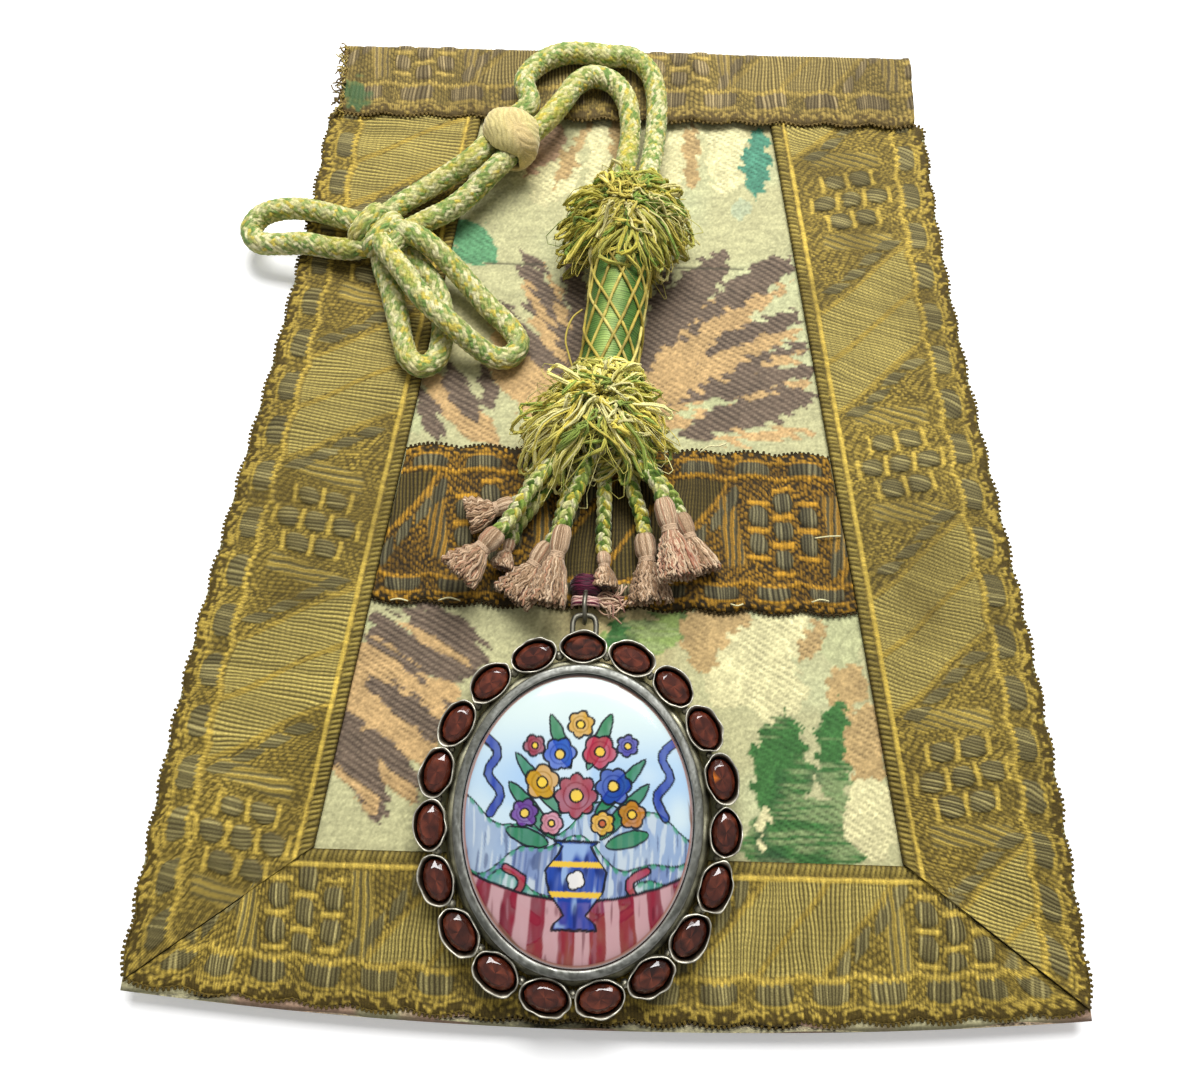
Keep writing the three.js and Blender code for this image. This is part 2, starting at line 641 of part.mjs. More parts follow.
// A ruff of looped thread round the shaft. Its section is carried round the axis, its outside
// swells in lobes, and its underside is pressed flat on what it lies on.
function ruff(section, floor, closedUp) {
  const rings = section.map(({ r, y, lobe }) =>
    around(RUFF_AROUND).map((a) => {
      const radius = r + lobe * RUFF_LOBE_DEPTH * Math.sin(RUFF_LOBES * a + y);
      return new THREE.Vector3(radius * Math.cos(a), y, Math.max(radius * Math.sin(a), -floor));
    }),
  );
  return loft(rings, closedUp);
}

const ruffBore = shaftRadius + NET_THREAD / 2 + GAP;

// Sections of the ruffs, as shares: along the ruff, from the shaft out to the widest, and of the
// depth of a lobe.
const UPPER_RUFF_SHARES = [
  [1, 0, 0], [1.02, 0.5, 0.5], [0.78, 0.88, 1], [0.5, 1, 1], [0.22, 0.84, 1], [0.03, 0.6, 0.4],
];
const LOWER_RUFF_SHARES = [
  [0.02, 0.45, 0.4], [0.22, 0.7, 1], [0.52, 1, 1], [0.8, 0.8, 1], [1, 0.5, 0.4],
];

const ruffSection = (shares, start, length, widest) =>
  shares.map(([alongShare, outShare, lobe]) => ({
    r: mix(ruffBore, widest, outShare),
    y: -start - length * alongShare,
    lobe,
  }));

function upperRuff() {
  const section = [
    ...ruffSection(UPPER_RUFF_SHARES, UPPER_RUFF_START, UPPER_RUFF_LENGTH, UPPER_RUFF_RADIUS),
    { r: UPPER_MOUTH_RADIUS, y: -UPPER_RUFF_START, lobe: 0 },
    { r: ruffBore, y: -SHAFT_START + GAP, lobe: 0 },
  ];
  return ruff(section, TASSEL_MOUTH.z - BROCADE_TOP - GAP, true);
}

function lowerRuff() {
  const section = [
    { r: ruffBore, y: -SHAFT_START - SHAFT_LENGTH - GAP, lobe: 0 },
    { r: ruffBore, y: -LOWER_RUFF_START, lobe: 0 },
    ...ruffSection(LOWER_RUFF_SHARES, LOWER_RUFF_START, LOWER_RUFF_LENGTH, LOWER_RUFF_RADIUS),
  ];
  return ruff(section, TASSEL_MOUTH.z - GALLOON_TOP - GAP, false);
}

// One row for each skirt cord. Its root as a share of the half row, then the head of its end
// tassel as shares of the spread and the reach, its turn from straight down as a share of a
// right angle, its layer, and the end tassel's length and width as shares of the largest.
const SKIRT_SHARES = [
  [-0.98, -0.62, 0.34, -0.74, 0, 0.6, 0.85],
  [-0.61, -0.68, 0.71, -0.38, 1, 0.72, 1],
  [-0.46, -0.6, 0.72, -0.1, 0, 0.36, 0.5],
  [-0.18, -0.28, 0.71, -0.29, 0, 0.82, 1],
  [0, -0.17, 0.58, -0.05, 1, 0.96, 0.86],
  [0.18, 0.17, 0.72, 0.1, 0, 0.44, 0.6],
  [0.56, 0.48, 0.48, 0.14, 0, 0.86, 1],
  [0.77, 0.59, 0.18, 0.21, 1, 1, 0.95],
  [0.98, 0.75, 0.23, 0.3, 0, 0.8, 0.9],
];

// Its root is under the lower ruff, and from there it fans out and lies down.
function skirtRoute([rootShare, acrossShare, downShare, turnShare, layer]) {
  const lowest = GALLOON_TOP + GAP + END_TASSEL_DEPTH / 2 - TASSEL_MOUTH.z;
  const lie = lowest + layer * (END_TASSEL_DEPTH + GAP);
  const rootZ = lowest + SKIRT_CORD / 2 + layer * (SKIRT_CORD + GAP);
  const rootY = -LOWER_RUFF_START - LOWER_RUFF_LENGTH - GAP;
  const root = new THREE.Vector3(rootShare * SKIRT_ROOT_HALF, rootY, rootZ);
  const end = new THREE.Vector3(acrossShare * SKIRT_SPREAD, rootY - downShare * SKIRT_REACH, lie);
  const lead = root.clone().setY(rootY - SKIRT_CORD);
  const turn = (turnShare * Math.PI) / 2;
  const way = new THREE.Vector3(Math.sin(turn), -Math.cos(turn), 0);
  const bend = lead.clone().lerp(end, SKIRT_BEND_SHARE);
  bend.z = mix(rootZ, lie, SKIRT_BEND_SHARE / 2);
  const last = end.clone().addScaledVector(way, -SKIRT_CORD);
  return { route: [root, lead, bend, last, end], end, way };
}

// Head, tied neck and fluted skirt, as shares of an end tassel's length, width and depth.
const END_TASSEL_SHARES = [
  [0, 0.3, 0.45], [0.08, 0.44, 0.72], [0.28, 0.44, 0.74], [0.36, 0.3, 0.52],
  [0.41, 0.32, 0.52], [0.56, 0.6, 0.76], [0.8, 0.88, 0.94], [1, 1, 1],
];

function endTassel(from, way, length, half) {
  const across = new THREE.Vector3(way.y, -way.x, 0);
  const up = new THREE.Vector3(0, 0, END_TASSEL_DEPTH / 2);
  const rings = END_TASSEL_SHARES.map(([lengthShare, widthShare, depthShare]) =>
    around(END_TASSEL_SIDES).map((a, k) => {
      const flute = 1 - END_TASSEL_FLUTE_SHARE * (k % 2) * lengthShare;
      return from
        .clone()
        .addScaledVector(way, lengthShare * length)
        .addScaledVector(across, half * widthShare * flute * Math.cos(a))
        .addScaledVector(up, depthShare * flute * Math.sin(a));
    }),
  );
  return loft(rings);
}

function addTassel() {
  addPiece(tassel, "tassel_shaft", shaftGeometry(), SILKS);
  addPiece(tassel, "tassel_ruff_upper", upperRuff(), RUFFS);
  addPiece(tassel, "tassel_ruff_lower", lowerRuff(), RUFFS);
  SKIRT_SHARES.forEach((shares, i) => {
    const { route, end, way } = skirtRoute(shares);
    addPiece(tassel, `skirt_cord_${i + 1}`, tube(route, SKIRT_CORD, SKIRT_SIDES, SKIRT_STEPS), CORDS);
    const [lengthShare, widthShare] = shares.slice(-2);
    const head = end.clone().addScaledVector(way, GAP);
    const size = [lengthShare * END_TASSEL_LENGTH, widthShare * END_TASSEL_HALF];
    addPiece(tassel, `end_tassel_${i + 1}`, endTassel(head, way, ...size), ROSES);
  });
  scapular.add(tassel);
}

// Medallion, in its own frame: the middle of its back at the origin

const medallion = new THREE.Group();
medallion.position.set(MEDALLION_AT.x, MEDALLION_AT.y, MEDALLION_BASE);

const oval = (x, y, z, count, lobes = 0) =>
  around(count).map((a) => {
    const swell = lobes * Math.cos(COLLET_LOBES * a);
    return new THREE.Vector3((x + swell) * Math.cos(a), (y + swell) * Math.sin(a), z);
  });

// Places spaced evenly along the oval of stones, the first at the top.
function stonePlaces() {
  const fine = around(OVAL_STEPS).map((a) => {
    const turn = a + Math.PI / 2;
    return new THREE.Vector2(STONE_RING_X * Math.cos(turn), STONE_RING_Y * Math.sin(turn));
  });
  const travelled = [0];
  fine.forEach((p, i) => travelled.push(travelled[i] + p.distanceTo(fine[(i + 1) % fine.length])));
  return Array.from({ length: STONE_COUNT }, (_, i) => {
    const wanted = (travelled.at(-1) * i) / STONE_COUNT;
    const at = fine[travelled.findIndex((t) => t >= wanted) % fine.length];
    const facing = Math.atan2(at.y / STONE_RING_Y ** 2, at.x / STONE_RING_X ** 2);
    return { at, turn: facing + Math.PI / 2 };
  });
}

const placed = (geometry, { at, turn }) => geometry.rotateZ(turn).translate(at.x, at.y, 0);

// Width of a collet at a height, against its rim.
const flareShare = (z) => mix(COLLET_FLARE_SHARE, 1, z / COLLET_HEIGHT);

// A flaring oval cup with a scalloped rim and a floor for the stone.
function collet(place) {
  const ring = (share, inset, z, scallop) => {
    const [long, wide] = [share * (COLLET_LONG - inset), share * (COLLET_WIDE - inset)];
    return oval(long, wide, z, COLLET_POINTS, scallop);
  };
  const rings = [
    ring(COLLET_FLARE_SHARE, 0, 0, 0),
    ring(1, 0, COLLET_HEIGHT, COLLET_SCALLOP),
    ring(1, COLLET_WALL, COLLET_HEIGHT, COLLET_SCALLOP),
    ring(flareShare(COLLET_FLOOR), COLLET_WALL, COLLET_FLOOR, 0),
  ];
  return placed(loft(rings), place);
}

// Half sizes of the cup's inside at a height above the medallion's back.
function cupAt(z) {
  return [COLLET_LONG, COLLET_WIDE].map((half) => flareShare(z) * (half - COLLET_WALL) - STONE_CLEAR);
}

// Heights and widths of a stone's facets, as shares of its height and girdle.
const STONE_SHARES = [[0, 0.82], [0.5, 1], [0.72, 0.93], [1, 0.62]];

function stone(place) {
  const base = COLLET_FLOOR + GAP;
  const height = COLLET_HEIGHT - base;
  const girdle = cupAt(base + height * STONE_SHARES[1][0]);
  const low = cupAt(base);
  const rings = STONE_SHARES.map(([heightShare, widthShare]) => {
    const [long, wide] = heightShare === 0 ? low : girdle;
    return oval(long * widthShare, wide * widthShare, base + height * heightShare, STONE_POINTS);
  });
  return placed(loft(rings), place);
}

// The bail's rounded corner, as shares of its wire: in from the side and down from the bar.
const BAIL_CORNER_SHARES = [[0, 1.4], [0.35, 0.4], [1, 0]];

function bail() {
  const root = STONE_RING_Y + COLLET_FOOT;
  const z = RING_HEIGHT - MEDALLION_BASE;
  const corner = BAIL_CORNER_SHARES.map(([inShare, downShare]) => {
    const [x, y] = [BAIL_HALF - BAIL_WIRE * inShare, BAIL_Y - BAIL_WIRE * downShare];
    return new THREE.Vector3(x, y, z);
  });
  const half = [new THREE.Vector3(BAIL_HALF, root, z), ...corner];
  const mirrored = half.map((p) => new THREE.Vector3(-p.x, p.y, p.z)).reverse();
  return tube([...half, ...mirrored], BAIL_WIRE, RING_SIDES, BAIL_STEPS);
}

function mount(places) {
  const plate = loft([
    oval(MOUNT_X, MOUNT_Y, 0, BEZEL_POINTS),
    oval(MOUNT_X, MOUNT_Y, MOUNT_THICK, BEZEL_POINTS),
  ]);
  return joined([plate, bail(), ...places.map(collet)]);
}

// The bezel's rounded rim, as shares: in from the wall, and down from its top.
const BEZEL_RIM_SHARES = [[0, 0.8], [0.18, 0.15], [0.5, 0], [1, 0.4], [1, 1]];

// The bezel's section: wall, rounded rim turned in over the plaque, and the shelf under it.
function bezel() {
  const lipLow = BEZEL_TOP - BEZEL_LIP_THICK;
  const section = [
    [0, BEZEL_BASE],
    ...BEZEL_RIM_SHARES.map(([inShare, downShare]) => [
      BEZEL_LIP * inShare,
      BEZEL_TOP - BEZEL_LIP_THICK * downShare,
    ]),
    [BEZEL_WALL, lipLow],
    [BEZEL_WALL, LEDGE_TOP],
    [BEZEL_LEDGE, LEDGE_TOP],
    [BEZEL_LEDGE, LEDGE_TOP - BEZEL_WALL],
    [BEZEL_WALL, LEDGE_TOP - BEZEL_WALL],
    [BEZEL_WALL, BEZEL_BASE],
  ];
  const rings = around(BEZEL_POINTS).map((a) =>
    section.map(([inset, z]) => {
      const [x, y] = [(BEZEL_X - inset) * Math.cos(a), (BEZEL_Y - inset) * Math.sin(a)];
      return new THREE.Vector3(x, y, z);
    }),
  );
  return loft(rings, true);
}

// The plaque's rings, as shares of its half sizes and of its crown.
const PLAQUE_SHARES = [[0.93, 0.3], [0.72, 0.66], [0.4, 0.93]];

function plaque() {
  const inset = BEZEL_WALL + GAP;
  const [x, y] = [BEZEL_X - inset, BEZEL_Y - inset];
  const base = LEDGE_TOP + GAP;
  const edge = base + PLAQUE_THICK;
  const ring = (share, z) => oval(x * share, y * share, z, BEZEL_POINTS);
  const open = (BEZEL_X - BEZEL_LIP - GAP) / x;
  const dome = PLAQUE_SHARES.map(([share, crown]) => ring(open * share, edge + crown * PLAQUE_CROWN));
  return loft([ring(1, base), ring(1, edge), ring(open, edge), ...dome]);
}

function addMedallion() {
  const places = stonePlaces();
  addPiece(medallion, "medallion_mount", mount(places), SILVERS);
  addPiece(medallion, "medallion_bezel", bezel(), SILVERS);
  addPiece(medallion, "enamel_plaque", plaque(), ENAMELS);
  places.forEach((place, i) => {
    addPiece(medallion, `garnet_${String(i + 1).padStart(2, "0")}`, stone(place), GARNETS);
  });
  scapular.add(medallion);
}

// Jump ring through the bail, and the dark thread that ties it to the middle galloon

// Half of the tie's arch, as shares: in from its foot and along the panel in widths, and up in
// its height.
const TIE_SHARES = [[0, 1, 0], [0.2, 0.5, 0.6], [0.8, 0, 1], [1.3, 0, 1]];

function addHanger() {
  const centre = new THREE.Vector3(MEDALLION_AT.x, MEDALLION_AT.y + RING_Y, RING_HEIGHT);
  const ringGeometry = new THREE.TorusGeometry(RING_RADIUS, RING_WIRE / 2, RING_SIDES, 4 * RING_SIDES);
  const ring = addPiece(scapular, "jump_ring", ringGeometry, SILVERS);
  ring.position.copy(centre);
  ring.rotation.y = Math.PI / 2;
  const foot = GALLOON_TOP + GAP;
  const half = TIE_SHARES.map(([inShare, alongShare, upShare]) => {
    const x = TIE_HALF - TIE_WIDTH * inShare;
    return new THREE.Vector3(x, TIE_WIDTH * alongShare, mix(foot, RING_HEIGHT, upShare));
  });
  const mirrored = half.map((p) => new THREE.Vector3(-p.x, p.y, p.z)).reverse();
  const path = curveThrough([...half, ...mirrored]);
  const frames = path.computeFrenetFrames(2 * TIE_RIDGES);
  const rings = path.getSpacedPoints(2 * TIE_RIDGES).map((p, i) =>
    around(SKIRT_SIDES).map((a) => {
      const r = (TIE_WIDTH / 2) * (i % 2 === 0 ? TIE_GROOVE_SHARE : 1);
      return p
        .clone()
        .addScaledVector(frames.normals[i], r * Math.cos(a))
        .addScaledVector(frames.binormals[i], r * Math.sin(a));
    }),
  );
  const tie = addPiece(scapular, "thread_tie", loft(rings), DARK_THREADS);
  tie.position.set(MEDALLION_AT.x, MEDALLION_AT.y + TIE_Y, 0);
}

addPanel();
addGalloon();
addCord();
addTassel();
addHanger();
addMedallion();

export default scapular;
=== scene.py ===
"""A devotional scapular panel lying on its back, dressed in brocade, galloon, braid and silver.

Every length in the making of the pieces is in millimetres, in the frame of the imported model: +X to
the right of the face, +Y towards its top edge, +Z off the face. Meshes are stored in metres.
"""
import math

import bpy
import numpy as np
from mathutils import Matrix


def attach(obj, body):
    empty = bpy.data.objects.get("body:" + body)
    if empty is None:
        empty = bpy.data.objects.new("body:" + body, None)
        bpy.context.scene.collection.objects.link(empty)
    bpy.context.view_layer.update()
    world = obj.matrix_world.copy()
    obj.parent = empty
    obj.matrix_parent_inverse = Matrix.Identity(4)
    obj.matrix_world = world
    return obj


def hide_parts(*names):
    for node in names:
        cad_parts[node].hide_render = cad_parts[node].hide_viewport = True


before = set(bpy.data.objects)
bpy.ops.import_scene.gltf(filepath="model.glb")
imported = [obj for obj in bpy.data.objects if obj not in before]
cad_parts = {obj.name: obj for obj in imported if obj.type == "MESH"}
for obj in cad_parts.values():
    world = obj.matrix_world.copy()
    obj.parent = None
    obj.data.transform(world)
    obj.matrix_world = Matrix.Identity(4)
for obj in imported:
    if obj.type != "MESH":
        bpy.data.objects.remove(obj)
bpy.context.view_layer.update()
MM = 0.001

# Panel
PANEL_HEIGHT = 209
PANEL_TOP_HALF = 67.5
PANEL_BOTTOM_HALF = 86
SIDE_BOW = 1.8
BOTTOM_BOW = 4
PANEL_BOTTOM = -PANEL_HEIGHT / 2
BOARD_TOP = 3.1
BOARD_THICK = 2
BROCADE_BASE = 3.4
BROCADE_TOP = 4.2
CLOTH = 0.8  # thickness of cloth and galloon
GALLOON_BASE = 4.5
GALLOON_TOP = 5.3
FLAP_TOP = 6.4
FOLD_RADIUS = 3.2
FOLD_Y = 101.3
FLAP_LOW = 84
FLAP_HALF = 65.6
SHOULDER = 2.6
TURN_UNDER = 14
LINING_INSET = 1.5
BROCADE_SHOWS = 1.2
SIDE_INNER_TOP = 33.2
SIDE_INNER_BOTTOM = 54
BOTTOM_INNER = 75.3
MIDDLE_TOP = 4.5
MIDDLE_WIDTH = 33.8
GAP = 0.3
SCALLOP_PITCH = 10.2
SCALLOP_DEPTH = 0.9

# Cord, bead and bow
CORD = 4.8
STRAND_PITCH = 5.6
BEAD_AT = np.array([-25.2, 74.4, 11.4])
BEAD_TURN = math.radians(-129)
BEAD_RUN = 9.3
BEAD_DIAMETER = 13.6
BEAD_LENGTH = 12.4
KNOT_AT = np.array([-51.6, 50, 10.2])
KNOT_HALF = np.array([6.3, 6, 4.9])

# Tassel
TASSEL_MOUTH = np.array([1.8, 59.5, 12.9])
TASSEL_TURN = math.radians(-6)
SHAFT_RADIUS = 5.7
SHAFT_START = 8
SHAFT_LENGTH = 48
LOWER_RUFF_END = 63.5
SKIRT_CORD = 2.4
SKIRT_ROOT_HALF = 9
SKIRT_SPREAD = 24
SKIRT_REACH = 20
END_TASSEL_LENGTH = 16
END_TASSEL_HALF = 4.4
END_TASSEL_DEPTH = 4.8
# Root, head across and down, turn, layer, length and width of each skirt cord's end tassel
SKIRT_SHARES = [
    (-0.98, -0.62, 0.34, -0.74, 0, 0.6, 0.85), (-0.61, -0.68, 0.71, -0.38, 1, 0.72, 1),
    (-0.46, -0.6, 0.72, -0.1, 0, 0.36, 0.5), (-0.18, -0.28, 0.71, -0.29, 0, 0.82, 1),
    (0, -0.17, 0.58, -0.05, 1, 0.96, 0.86), (0.18, 0.17, 0.72, 0.1, 0, 0.44, 0.6),
    (0.56, 0.48, 0.48, 0.14, 0, 0.86, 1), (0.77, 0.59, 0.18, 0.21, 1, 1, 0.95),
    (0.98, 0.75, 0.23, 0.3, 0, 0.8, 0.9),
]
# Along an end tassel: share of its length, of its width and of its depth
END_TASSEL_SHARES = [
    (0, 0.3, 0.45), (0.08, 0.44, 0.72), (0.28, 0.44, 0.74), (0.36, 0.3, 0.52),
    (0.41, 0.32, 0.52), (0.56, 0.6, 0.76), (0.8, 0.88, 0.94), (1, 1, 1),
]

# Medallion, from the middle of its back
MEDALLION_AT = np.array([-5.6, -68.4, 5.6])
STONE_COUNT = 19
STONE_RING = np.array([26.6, 30.5])
COLLET_LONG = 4.55
COLLET_WIDE = 3.15
COLLET_HEIGHT = 5.5
COLLET_FLARE_SHARE = 0.8
COLLET_WALL = 0.38
COLLET_FLOOR = 2.5
BEZEL_HALF = np.array([22.35, 27])
BEZEL_BASE = 1.5
BEZEL_TOP = 7.1
LIP = 1.75  # the lip as the scene shows it, worn narrow
BEZEL_WALL = 1.2
LEDGE_TOP = 4.5
LEDGE_REACH = 2.9  # from the outside of the bezel
LEDGE_THICK = 1.2
PLAQUE_THICK = 1
PLAQUE_CROWN = 1.8
MOUNT_THICK = 1.2
BAIL_HALF = 2.2
BAIL_Y = 36.85

# Ring and tie
RING_AT = np.array([-5.6, -29.9, 9])
RING_RADIUS = 2.95
TIE_Y = -28.5


# Arithmetic on whole arrays


def linear(code):
    """Linear colour of an sRGB hex value, by the standard's two-part curve."""
    s = np.array([int(code[i:i + 2], 16) for i in (0, 2, 4)]) / 255
    return np.where(s <= 0.04045, s / 12.92, ((s + 0.055) / 1.055) ** 2.4)


def shades_of(codes):
    """A row of linear colours, one for each hex value."""
    return np.stack([linear(code) for code in codes])


def ease(t):
    """3t^2 - 2t^3 on t held between 0 and 1."""
    t = np.clip(t, 0, 1)
    return t * t * (3 - 2 * t)


def step(low, high, x):
    """Eases from 0 at low to 1 at high."""
    return ease((x - low) / (high - low))


def chance(*cells):
    """A fixed random number in 0..1 for each whole-number cell: the fraction of a large sine."""
    s = np.sin(sum(c * k for c, k in zip(cells, (127.1, 311.7, 74.7, 269.5)))) * 43758.5453
    return s - np.floor(s)


def noise(x, y, seed=0):
    """Smooth noise in -1..1: random numbers at whole places, eased between them."""
    i, j = np.floor(x), np.floor(y)
    a, b = ease(x - i), ease(y - j)
    low = chance(i, j, seed) * (1 - a) + chance(i + 1, j, seed) * a
    high = chance(i, j + 1, seed) * (1 - a) + chance(i + 1, j + 1, seed) * a
    return 2 * (low * (1 - b) + high * b) - 1


def ringed(turn, size, other, seed):
    """Noise that meets itself after a full turn: taken along a circle of a size."""
    return noise(size * np.cos(turn) + 3.1 * other + 40, size * np.sin(turn) + 7.7 * other + 40, seed)


def over(base, cover, share):
    """Colour base under colour cover laid on by a share. Either may be a hex value."""
    base, cover = (linear(c) if isinstance(c, str) else c for c in (base, cover))
    return base + (cover - base) * np.asarray(share)[..., None]


def wrap(x, pitch):
    """x less the nearest multiple of pitch."""
    return x - pitch * np.round(x / pitch)


def turns(count):
    """Angles of even steps round a full turn."""
    return 2 * np.pi * np.arange(count) / count


def oval(wide, long, z, lon):
    """Points at angles round an oval of two half widths, at a height."""
    return np.stack(np.broadcast_arrays(wide * np.cos(lon), long * np.sin(lon), z), -1)


def ball(rows, cols, reach=0.49):
    """Points of a unit ball in rings that stop short of its poles, at a reach in half turns."""
    lat = np.linspace(-reach, reach, rows)[:, None] * np.pi
    return oval(np.cos(lat), np.cos(lat), np.sin(lat), turns(cols)[None])


def unit(v):
    """Vectors divided by their lengths."""
    return v / np.maximum(np.linalg.norm(v, axis=-1, keepdims=True), 1e-12)


def spun(points, angle, at=(0, 0, 0)):
    """Points turned by an angle about +Z, then moved."""
    c, s = math.cos(angle), math.sin(angle)
    return points @ np.array([[c, s, 0], [-s, c, 0], [0, 0, 1]]) + np.asarray(at)


def line_through(points, spacing):
    """Centripetal Catmull-Rom line through the points, cut at equal steps of its length."""
    p = np.array(points, float)
    p = np.vstack([2 * p[0] - p[1], p, 2 * p[-1] - p[-2]])
    d = np.linalg.norm(np.diff(p, axis=0), axis=1)[:, None] ** 0.5
    p0, p1, p2, p3 = p[:-3], p[1:-2], p[2:-1], p[3:]
    d0, d1, d2 = d[:-2], d[1:-1], d[2:]
    m1 = ((p1 - p0) / d0 - (p2 - p0) / (d0 + d1) + (p2 - p1) / d1) * d1
    m2 = ((p2 - p1) / d1 - (p3 - p1) / (d1 + d2) + (p3 - p2) / d2) * d1
    t = np.linspace(0, 1, 33)[:, None, None]
    curve = (2 * t**3 - 3 * t**2 + 1) * p1 + (t**3 - 2 * t**2 + t) * m1
    curve = curve + (3 * t**2 - 2 * t**3) * p2 + (t**3 - t**2) * m2
    curve = curve.transpose(1, 0, 2).reshape(-1, 3)
    run = np.append(0, np.cumsum(np.linalg.norm(np.diff(curve, axis=0), axis=1)))
    at = np.linspace(0, run[-1], max(2, round(run[-1] / spacing) + 1))
    return np.stack([np.interp(at, run, curve[:, k]) for k in range(3)], 1)


def length_of(path):
    return float(np.linalg.norm(np.diff(path, axis=0), axis=1).sum())


# Meshes


def patch(grids, tint, around=False, along=False, uv=None):
    """Quads over grids of points (count, rows, columns, 3). around joins the last column to the
    first, along the last row to the first. A grid that is only joined around is a tube, and its
    two ends are closed by a face each. uv is in mm, with a column more where it goes around."""
    grids = np.asarray(grids, float)
    grids = grids[None] if grids.ndim == 3 else grids
    count, rows, cols = grids.shape[:3]
    base = (np.arange(count) * rows * cols)[:, None, None]
    i = np.arange(rows - (not along))[None, :, None]
    j = np.arange(cols - (not around))[None, None, :]
    i2, j2 = (i + 1) % rows, (j + 1) % cols
    corners = np.stack(np.broadcast_arrays(
        base + i * cols + j, base + i * cols + j2, base + i2 * cols + j2, base + i2 * cols + j), -1)
    corners = corners.reshape(-1, 4)
    points = grids.reshape(-1, 3)
    if uv is None:
        marks = np.zeros((len(corners), 4, 2))
    else:
        marks = np.stack([uv[i, j], uv[i, j + 1], uv[i + 1, j + 1], uv[i + 1, j]], -2)
        marks = np.broadcast_to(marks, (count, *marks.shape[1:])).reshape(-1, 4, 2)
    sizes = np.full(len(corners), 4)
    corners, marks = corners.ravel(), marks.reshape(-1, 2)
    if around and not along:
        ring = np.arange(cols)
        first = (base[:, 0] + ring[::-1]).ravel()
        last = (base[:, 0] + (rows - 1) * cols + ring).ravel()
        corners = np.concatenate([corners, first, last])
        sizes = np.append(sizes, np.full(2 * count, cols))
        marks = np.vstack([marks, np.zeros((len(first) + len(last), 2))])
    tint = np.broadcast_to(tint, grids.shape).reshape(-1, 3)
    return {"points": points, "corners": corners, "sizes": sizes, "tint": tint, "uv": marks}


def volume(points, corners, sizes):
    """Signed volume of closed faces, each cut into a fan from its first corner."""
    starts = np.cumsum(sizes) - sizes
    total = 0.0
    for size in np.unique(sizes):
        face = points[corners[starts[sizes == size][:, None] + np.arange(size)]]
        for k in range(1, size - 1):
            total += (face[:, 0] * np.cross(face[:, k], face[:, k + 1])).sum()
    return total


def put_in_scene(name, data):
    """An object of its own for the data, linked to the scene."""
    made = bpy.data.objects.new(name, data)
    bpy.context.scene.collection.objects.link(made)
    return made


def piece(name, patches, finish, body, stands_for=None, flat=False):
    """One object from patches, each turned so that its faces point out, riding on a body."""
    points, corners, sizes, tint, uv, first = [], [], [], [], [], 0
    for p in patches:
        turn = p["corners"]
        marks = p["uv"]
        middle = p["points"].mean(0)
        if volume(p["points"] - middle, turn, p["sizes"]) < 0:
            ends = np.cumsum(p["sizes"])
            starts = ends - p["sizes"]
            back = np.repeat(starts + ends - 1, p["sizes"]) - np.arange(len(turn))
            turn, marks = turn[back], marks[back]
        points.append(p["points"])
        corners.append(turn + first)
        sizes.append(p["sizes"])
        tint.append(p["tint"])
        uv.append(marks)
        first += len(p["points"])
    points, corners, sizes = np.vstack(points), np.concatenate(corners), np.concatenate(sizes)
    mesh = bpy.data.meshes.new(name)
    mesh.vertices.add(len(points))
    mesh.vertices.foreach_set("co", (points * MM).astype(np.float32).ravel())
    mesh.loops.add(len(corners))
    mesh.loops.foreach_set("vertex_index", corners.astype(np.int32))
    mesh.polygons.add(len(sizes))
    mesh.polygons.foreach_set("loop_start", (np.cumsum(sizes) - sizes).astype(np.int32))
    mesh.update(calc_edges=True)
    mesh.polygons.foreach_set("use_smooth", np.full(len(sizes), not flat))
    colour = np.ones((len(points), 4), np.float32)
    colour[:, :3] = np.clip(np.vstack(tint), 0, 1)
    mesh.color_attributes.new("tint", "FLOAT_COLOR", "POINT").data.foreach_set("color", colour.ravel())
    mesh.uv_layers.new(name="UVMap").data.foreach_set("uv", np.vstack(uv).astype(np.float32).ravel())
    made = put_in_scene(name, mesh)
    mesh.materials.append(finish)
    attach(made, body)
    if stands_for:
        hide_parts(stands_for)
    return made


def tubes(paths, radius, tint, sides):
    """Thin round threads along many paths at once (count, steps, 3). Each ring lies across its
    path, turned from the direction in which the whole path spreads least."""
    paths = np.asarray(paths, float)
    paths = paths[None] if paths.ndim == 2 else paths
    way = unit(np.gradient(paths, axis=1))
    least = np.linalg.svd(paths - paths.mean(1, keepdims=True))[2][:, -1][:, None]
    side = unit(least - (least * way).sum(-1, keepdims=True) * way)
    up = np.cross(way, side)
    turn = turns(sides)
    r = np.broadcast_to(radius, paths.shape[:2])[..., None, None]
    rings = paths[:, :, None] + r * (
        side[:, :, None] * np.cos(turn)[:, None] + up[:, :, None] * np.sin(turn)[:, None])
    tint = np.asarray(tint, float)
    tint = tint if tint.ndim == 4 else tint.reshape(-1, 1, 1, 3) if tint.ndim < 3 else tint[:, :, None]
    return patch(rings, np.broadcast_to(tint, rings.shape), around=True)


def two_sided(face, back, colour, back_colour, marks):
    """A sheet whose back lies under its face column for column, closed round its edges."""
    return patch(np.concatenate([face, back[:, ::-1]], 1), np.concatenate([colour, back_colour[:, ::-1]], 1),
                 around=True, uv=np.concatenate([marks, marks[:, ::-1], marks[:, :1]], 1))


def side_frame(path):
    """The way, the sideways and the upward directions at each point of a path that never stands
    upright: sideways is across the way and the vertical."""
    way = unit(np.gradient(path, axis=0))
    side = unit(np.cross([0, 0, 1], way))
    return way, side, np.cross(way, side)


# Materials


